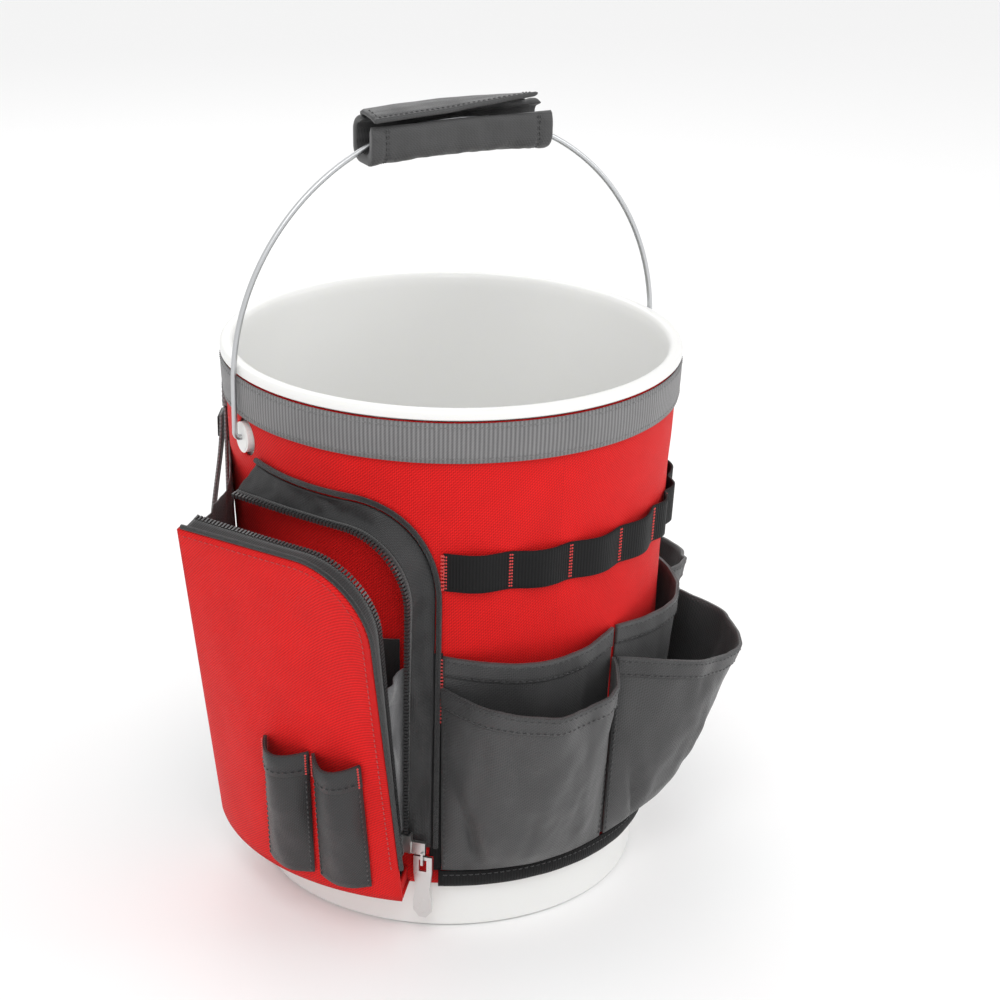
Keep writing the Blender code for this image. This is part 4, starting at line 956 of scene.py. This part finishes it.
# Floor of the zip pocket, its end panel and tab
# Red nylon under the zip pocket: a flat floor between flap and wrap, a low end panel at the right
# and a small folded tab that covers the lower end of the zip.
FLOOR_Z = 0.0375
FLOOR_STANDS = (0.001, 0.012, 0.0212)
END_SHIFT = around(52.0, 0.002, 0.0)
END_RADII = (wrap_outer(0.0483) + 0.0006, 0.1556)
END_HEIGHTS = (0.0394, 0.0415, 0.0440, 0.0462, 0.0482)
floor_rows = [[around(b, wrap_outer(FLAP_FOOT) + stand, FLOOR_Z) for b in spread(*FLAP_FOOT_SPAN, 40)]
              for stand in FLOOR_STANDS]
cloth("zip_floor_cloth", floor_rows, red, "body", ["zip_floor"], side=0.0, wall=0.0022)
end_rows = [[around(FLAP_FOOT_SPAN[1], radius, z) - END_SHIFT for radius in spread(*END_RADII, 12)]
            for z in END_HEIGHTS]
cloth("zip_end_cloth", end_rows, red, "body", ["zip_end_panel"], side=0.0, wall=0.0016)
tab_rows = wrap_strip(low=0.0392, high=0.0572, levels=10, bearings=spread(-36.0, -31.4, 8),
                      stand=lambda b, z, share: 0.0010 + 0.0016 * arch(share) ** 0.7)
cloth("zip_tab_cloth", tab_rows, red, "body", ["zip_tab"], wall=0.0009)


# Inner pocket
# Flat pocket of black cloth on the wall behind the flap, gathered at its foot and open at the
# top. It shows when the zip is undone.
INNER_SPAN = (-100.0, -40.2)
INNER_FOOT = 0.0402
INNER_TOP = 0.215
INNER_SEAT = 0.0007
INNER_SWELL = 0.008
inner_rows = []
for share in steps(24):
    rise = share ** 1.4
    z = mix(INNER_FOOT, INNER_TOP, rise)
    row = []
    for s in steps(30):
        bearing = mix(*INNER_SPAN, s)
        bulge = arch(s)
        waves = crumple(around(bearing, 0.15, z), size=0.03, amount=0.001, seed=51.0)
        stand = INNER_SEAT + INNER_SWELL * bulge * rise ** 0.55 + waves * bulge * share
        row.append(on_wrap(bearing, z, stand))
    inner_rows.append(row)
inner = cloth("inner_pocket_cloth", inner_rows, black, "body", ["inner_pocket"],
              wall=0.0012)


# Bellows and lining
# Soft sheets that close the two ends of the zip pocket, each with one soft pleat: dark nylon
# bellows at the left, a thin grey lining at the right. Each is sewn to the flap and to the body.
BEHIND_FLAP = 0.0034


def folded_sheet(name, near_at, far_at, pleat, creases, material, node, seed):
    """Sheet between two edges, with one soft pleat and creases."""
    grid = []
    for share in steps(28):
        near, far_end = near_at(share), far_at(share)
        line = []
        for across in steps(24):
            place = near.lerp(far_end, across)
            fold = FLAP_SIDE * pleat * share * arch(across)
            waves = crumple(place, 0.018, creases, seed) + crumple(place, 0.007, creases * 0.4, seed)
            line.append(place + fold + FLAP_SIDE * waves * arch(across))
        grid.append(line)
    return cloth(name, grid, material, None, [node], wall=0.0008)


def behind_flap(u, v):
    return flap_point(u, v) - flap_normal(u, v) * BEHIND_FLAP


def bellows_root(share):
    """Point of the bellows' edge on the wrap."""
    return on_wrap(bearing=-111.0, z=mix(0.0402, 0.300, share), stand=0.0012)


def inside_zip(v):
    """Point just inside the fixed half of the zip."""
    climb = (flap_point(1, v + 0.01) - flap_point(1, v - 0.01)).normalized()
    normal = flap_normal(1, v)
    frame_at = (flap_point(1, v), normal, climb.cross(normal).normalized())
    return SHUT @ zip_point(frame_at, depth=0.0245, side=-0.0046)


bellows = folded_sheet("bellows_cloth", lambda s: behind_flap(0.02, mix(0.018, 0.98, s)), bellows_root,
                       0.014, 0.0028, grey, "left_bellows", 61.0)
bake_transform(bellows)
lining_paint = woven("grey_lining_weave", (0.13, 0.13, 0.135), thread=0.0007, depth=0.00012,
                     roughness=0.5, hollow_shade=0.75, sheen=0.5, creases=0.012)
lining = folded_sheet("lining_cloth", lambda s: behind_flap(0.965, mix(0.085, 0.600, s)),
                      lambda s: inside_zip(mix(0.085, 0.640, s)),
                      -0.004, 0.0042, lining_paint, "grey_lining", 71.0)
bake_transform(lining)


# Slider and pull
# Plated zip slider at the lower end of the zip, with a long slotted metal pull that hangs from
# its bridge.
plated, tree, shader = new_shader("plated_zip_metal", (0.66, 0.66, 0.65), 0.3, Metallic=1.0)
uneven_shine(tree, shader, patches=700.0, low=0.2, high=0.45)
for node in ("zip_slider", "zip_pull"):
    dress_node(node, plated, edge=0.00035, segments=2)


# Tape strap
# Loop of grey webbing that hangs from an anchor sewn below the top band at the left. Its free
# end closes with a strip of black hook-and-loop tape.
STRAP = 239.0
STRAP_TOP = 0.318
STRAP_DROP = 0.0006
STRAP_LONG = 0.108
STRAP_TURN = 0.0062
STRAP_WIDE = 0.0188
STRAP_END = STRAP_TOP - 0.006
STRAP_END_STAND = 0.003
CLOSURE_STAND = 0.0046
BOX_HALF = 0.0075
BOX_LOW = 0.002
BOX_HIGH = 0.0145
BOX_STAND = 0.0016
strap_out = around(STRAP, 1.0, 0.0)
strap_side = around(STRAP + 90.0, 1.0, 0.0)
strap_stand = wrap_outer(STRAP_TOP + 0.016) + 0.0019
turn_z = STRAP_TOP - STRAP_LONG + STRAP_TURN
strap_line = [Vector((0.0, z)) for z in spread(STRAP_TOP - STRAP_DROP, turn_z, 20)]
strap_line += [Vector((STRAP_TURN - STRAP_TURN * math.cos(math.pi * s),
                       turn_z - STRAP_TURN * arch(s))) for s in steps(16)[1:]]
strap_line += [Vector((mix(2 * STRAP_TURN, STRAP_END_STAND, s ** 2 * (3 - 2 * s)),
                       mix(turn_z, STRAP_END, s))) for s in steps(26)[1:]]


def strap_rows(line, wide, wave=0.0):
    """Strip of webbing along a line of stand and height."""
    return [[strap_out * (strap_stand + p.x + wave * math.sin(60 * p.y) * arch(s))
             + strap_side * wide * (s - 0.5) + Vector((0, 0, p.y)) for p in line] for s in steps(6)]


strap = cloth("strap_webbing", strap_rows(strap_line, STRAP_WIDE, wave=0.0002), grey_webbing, "strap",
              ["tape_strap"], side=0.0, wall=0.0014)
closure_line = [Vector((CLOSURE_STAND, z)) for z in spread(STRAP_END - 0.0015, STRAP_END - 0.0150, 6)]
cloth("strap_hook_tape", strap_rows(closure_line, wide=0.0185), black, "strap",
      ["strap_closure"], side=0.0, wall=0.0011)
anchor_line = [Vector((0.0, z)) for z in spread(STRAP_TOP + 0.0004, STRAP_TOP + 0.0162, 8)]
cloth("strap_anchor_webbing", strap_rows(anchor_line, STRAP_WIDE), grey_webbing, "body",
      ["strap_anchor"], side=0.0, wall=0.0030)
box = [(-BOX_HALF, BOX_LOW), (BOX_HALF, BOX_LOW), (BOX_HALF, BOX_HIGH), (-BOX_HALF, BOX_HIGH)]
runs = []
for first, last in ((0, 1), (1, 2), (2, 3), (3, 0), (0, 2), (1, 3)):
    runs.append([(strap_out * (strap_stand + BOX_STAND) + strap_side * across
                  + Vector((0, 0, STRAP_TOP + rise)), strap_out)
                 for across, rise in (box[first], box[last])])
stitches("strap_box_stitches", runs, dark_thread, "body", long=0.003)


# Grip
# Padded sleeve of dark grey nylon round the top of the wire, open along its top. A flap from its
# back edge folds over the opening, held by hook tape, and stands open a little at one end.
GRIP_Z = 0.505351
GRIP_HALF = 0.064
GRIP_WALL = 0.01215
GRIP_CORNER = 0.0075
GRIP_LIP = 0.003
GRIP_INSIDE = 0.0028
GRIP_OUTSIDE = 0.00295
GRIP_BOW = 0.0026
GRIP_SEAM = 0.0545
GRIP_SEAMS = (-0.0545, -0.0530, 0.0530, 0.0545)
GRIP_SEAM_DIP = 0.0007
GRIP_CREASE = 0.0007
GRIP_SEAM_STAND = 0.0026
GRIP_SEAM_END = 0.5
ROUND_EDGE = 0.0016
PAD_EDGE = 0.004
CLOSEST = 0.0004
corner_at = GRIP_WALL - GRIP_CORNER
grip_line = [Vector((-GRIP_WALL, z)) for z in spread(GRIP_WALL - GRIP_LIP, -corner_at, 8)]
for corner_y, corner_z, corner_turn in ((-1, -1, 180.0), (1, -1, 270.0), (1, 1, 0.0)):
    for s in steps(8):
        turn = math.radians(corner_turn + 90.0 * s)
        grip_line.append(Vector((corner_y * corner_at + GRIP_CORNER * math.cos(turn),
                                 corner_z * corner_at + GRIP_CORNER * math.sin(turn))))
grip_line.append(Vector((corner_at - GRIP_LIP, GRIP_WALL)))
even = [grip_line[0]]
for point in grip_line[1:]:
    if (point - even[-1]).length > CLOSEST:
        even.append(point)
grip_line = even


def off_line(line, k):
    """Direction out of a section line, square to its run."""
    along = (line[min(k + 1, len(line) - 1)] - line[max(k - 1, 0)]).normalized()
    return Vector((along.y, -along.x))


def pad_mesh(name, line, stations, shape):
    """Padded strip: shape gives the offset and lift of each side, by length and width."""
    bm = bmesh.new()
    run = run_lengths(line)
    rings = []
    for x in stations:
        outer, inner = [], []
        for k, point in enumerate(line):
            off = off_line(line, k)
            for held, (stand, lift) in zip((outer, inner), shape(x, run[k] / run[-1])):
                spot = point + off * stand + lift
                held.append(bm.verts.new((x, spot.x, GRIP_Z + spot.y)))
        rings.append(outer + inner[::-1])
    girth = run + [run[-1] + PAD_EDGE + r for r in run]
    girth.append(girth[-1] + PAD_EDGE)
    woven_faces(bm, rings, lambda j, k: (stations[j], girth[k]), loop=True)
    half = len(line)
    for ring in (rings[0], rings[-1]):
        for k in range(half - 1):
            bm.faces.new((ring[k], ring[k + 1], ring[2 * half - 2 - k], ring[2 * half - 1 - k]))
    return smooth_mesh(name, bm)


def grip_bow(x):
    """Drop of the grip's outside towards its ends, and its rise in the middle."""
    return GRIP_BOW * ((x / GRIP_HALF) ** 2 - 0.4)


def sleeve_shape(x, share):
    """Outside of the sleeve, puffed between its seams, and its straight inside."""
    edge = min(1.0, (GRIP_HALF - abs(x)) / ROUND_EDGE)
    seam = math.exp(-((abs(x) - GRIP_SEAM) / ROUND_EDGE) ** 2)
    lips = min(1.0, 12 * min(share, 1 - share) + 0.35)
    puff = GRIP_OUTSIDE * (0.62 + 0.38 * math.sqrt(max(edge, 0.0))) * lips - GRIP_SEAM_DIP * seam
    crease = GRIP_CREASE * noise.fractal(Vector((x * 70, share * 7, 4.0)), 1.0, 2.0, 3)
    inside = -GRIP_INSIDE * lips
    return (puff + crease * (1 - seam), Vector((0.0, -grip_bow(x)))), (inside, Vector((0.0, 0.0)))


stations = spread(-GRIP_HALF, -0.0625, 4) + spread(-0.062, 0.062, 90)
stations += spread(0.0625, GRIP_HALF, 4)
pad_cloth = woven("grip_pad_weave", (0.052, 0.052, 0.053), thread=0.0010, depth=0.00014, roughness=0.48,
                  hollow_shade=0.6, sheen=0.1, shine=0.45, creases=0.009)
sleeve_mesh = pad_mesh("grip_pad", grip_line, stations, sleeve_shape)
sleeve = add_piece("grip_pad", sleeve_mesh, pad_cloth, "grip", ["grip_sleeve"])
runs = []
for x in GRIP_SEAMS:
    line = []
    for k, point in enumerate(grip_line):
        off = off_line(grip_line, k)
        if off.y > GRIP_SEAM_END:
            break
        spot = point + off * GRIP_SEAM_STAND
        line.append((Vector((x, spot.x, GRIP_Z + spot.y - grip_bow(x))), Vector((0.0, off.x, off.y))))
    runs.append(line)
stitches("grip_stitches", runs, dark_thread, "grip", long=0.0036, thick=0.0004)


# Grip flap
# Two layers of the same nylon over a thin pad, sewn along the edge, with hook tape underneath. A
# black seam roll closes the gap along its root, where it is sewn to the sleeve.
ROOT = Vector((0.00465, 0.01715))
COVER_REACH = 0.0199
COVER_LEFT = -0.063
COVER_RIGHT = 0.052
COVER_PAD = 0.00150
COVER_EDGE = 0.0012
COVER_SEAM = 0.86
COVER_SEAM_DIP = 0.0002
COVER_CURL = 0.0022
COVER_DROOP = 0.0035
COVER_WAVE = 0.0004
COVER_LAYER = 0.0002
HOOK_UNDER = 0.0007
cover_line = [ROOT + Vector((-COVER_REACH * s, 0.0)) for s in steps(24)]


def cover_side(x, share):
    """Half thickness of the flap and its lift, which grows towards the open end."""
    ends = min(1.0, (min(x - COVER_LEFT, COVER_RIGHT - x)) / COVER_EDGE)
    rim = min(1.0, 14 * (1 - share) + 0.4)
    seam = math.exp(-((share - COVER_SEAM) / 0.035) ** 2)
    thick = COVER_PAD * (0.6 + 0.4 * math.sqrt(max(ends, 0.0))) * rim - COVER_SEAM_DIP * seam
    open_end = max(0.0, (x + 0.02) / 0.072)
    tilt = math.radians(1.5 + 10.5 * open_end ** 1.5)
    curl = COVER_CURL * max(0.0, open_end - 0.55) * share ** 2
    droop = -COVER_DROOP * share ** 2 * (1 - open_end)
    wave = COVER_WAVE * noise.noise(Vector((x * 60, share * 4, 8.0)))
    reach = COVER_REACH * share
    rise = reach * math.sin(tilt) + curl + droop + wave - grip_bow(x)
    return thick, Vector((reach * (1 - math.cos(tilt)), rise))


def cover_shape(x, share):
    thick, lift = cover_side(x, share)
    return (thick, lift), (-thick, lift)


stations = spread(COVER_LEFT, COVER_RIGHT, 70)
cover_mesh = pad_mesh("grip_cover_pad", cover_line, stations, cover_shape)
cover = add_piece("grip_cover_pad", cover_mesh, pad_cloth, "grip_cover", ["grip_flap"])


def on_cover(x, share, stand):
    """Point just off the flap's upper face, or its under face where stand is negative."""
    thick, lift = cover_side(x, share)
    spot = ROOT + Vector((-COVER_REACH * share, 0.0)) + lift
    return Vector((x, spot.x, GRIP_Z + spot.y + stand * (thick + COVER_LAYER)))


root_seam = [Vector((x, ROOT.x + 0.0008, GRIP_Z + ROOT.y - 0.0012 - grip_bow(x)))
             for x in spread(-0.0625, 0.0515, 40)]
rod("grip_root_seam", root_seam, black, "grip", diameter=0.0032)
up_way = Vector((0.0, 0.0, 1.0))
runs = [[(on_cover(mix(-0.060, 0.049, s), 0.87, 1.0), up_way) for s in steps(60)],
        [(on_cover(-0.0600, s, 1.0), up_way) for s in steps(12)[2:11]],
        [(on_cover(0.0490, s, 1.0), up_way) for s in steps(12)[2:11]]]
stitches("grip_cover_stitches", runs, dark_thread, "grip_cover", long=0.0036,
         thick=0.0004)
hook_rows = [[on_cover(mix(-0.055, 0.045, s), mix(0.30, 0.80, t), -1.0) - up_way * HOOK_UNDER
              for s in steps(50)] for t in steps(6)]
cloth("grip_hook_strip", hook_rows, black, "grip_cover", ["grip_hook_tape"], side=0.0,
      wall=0.0010)
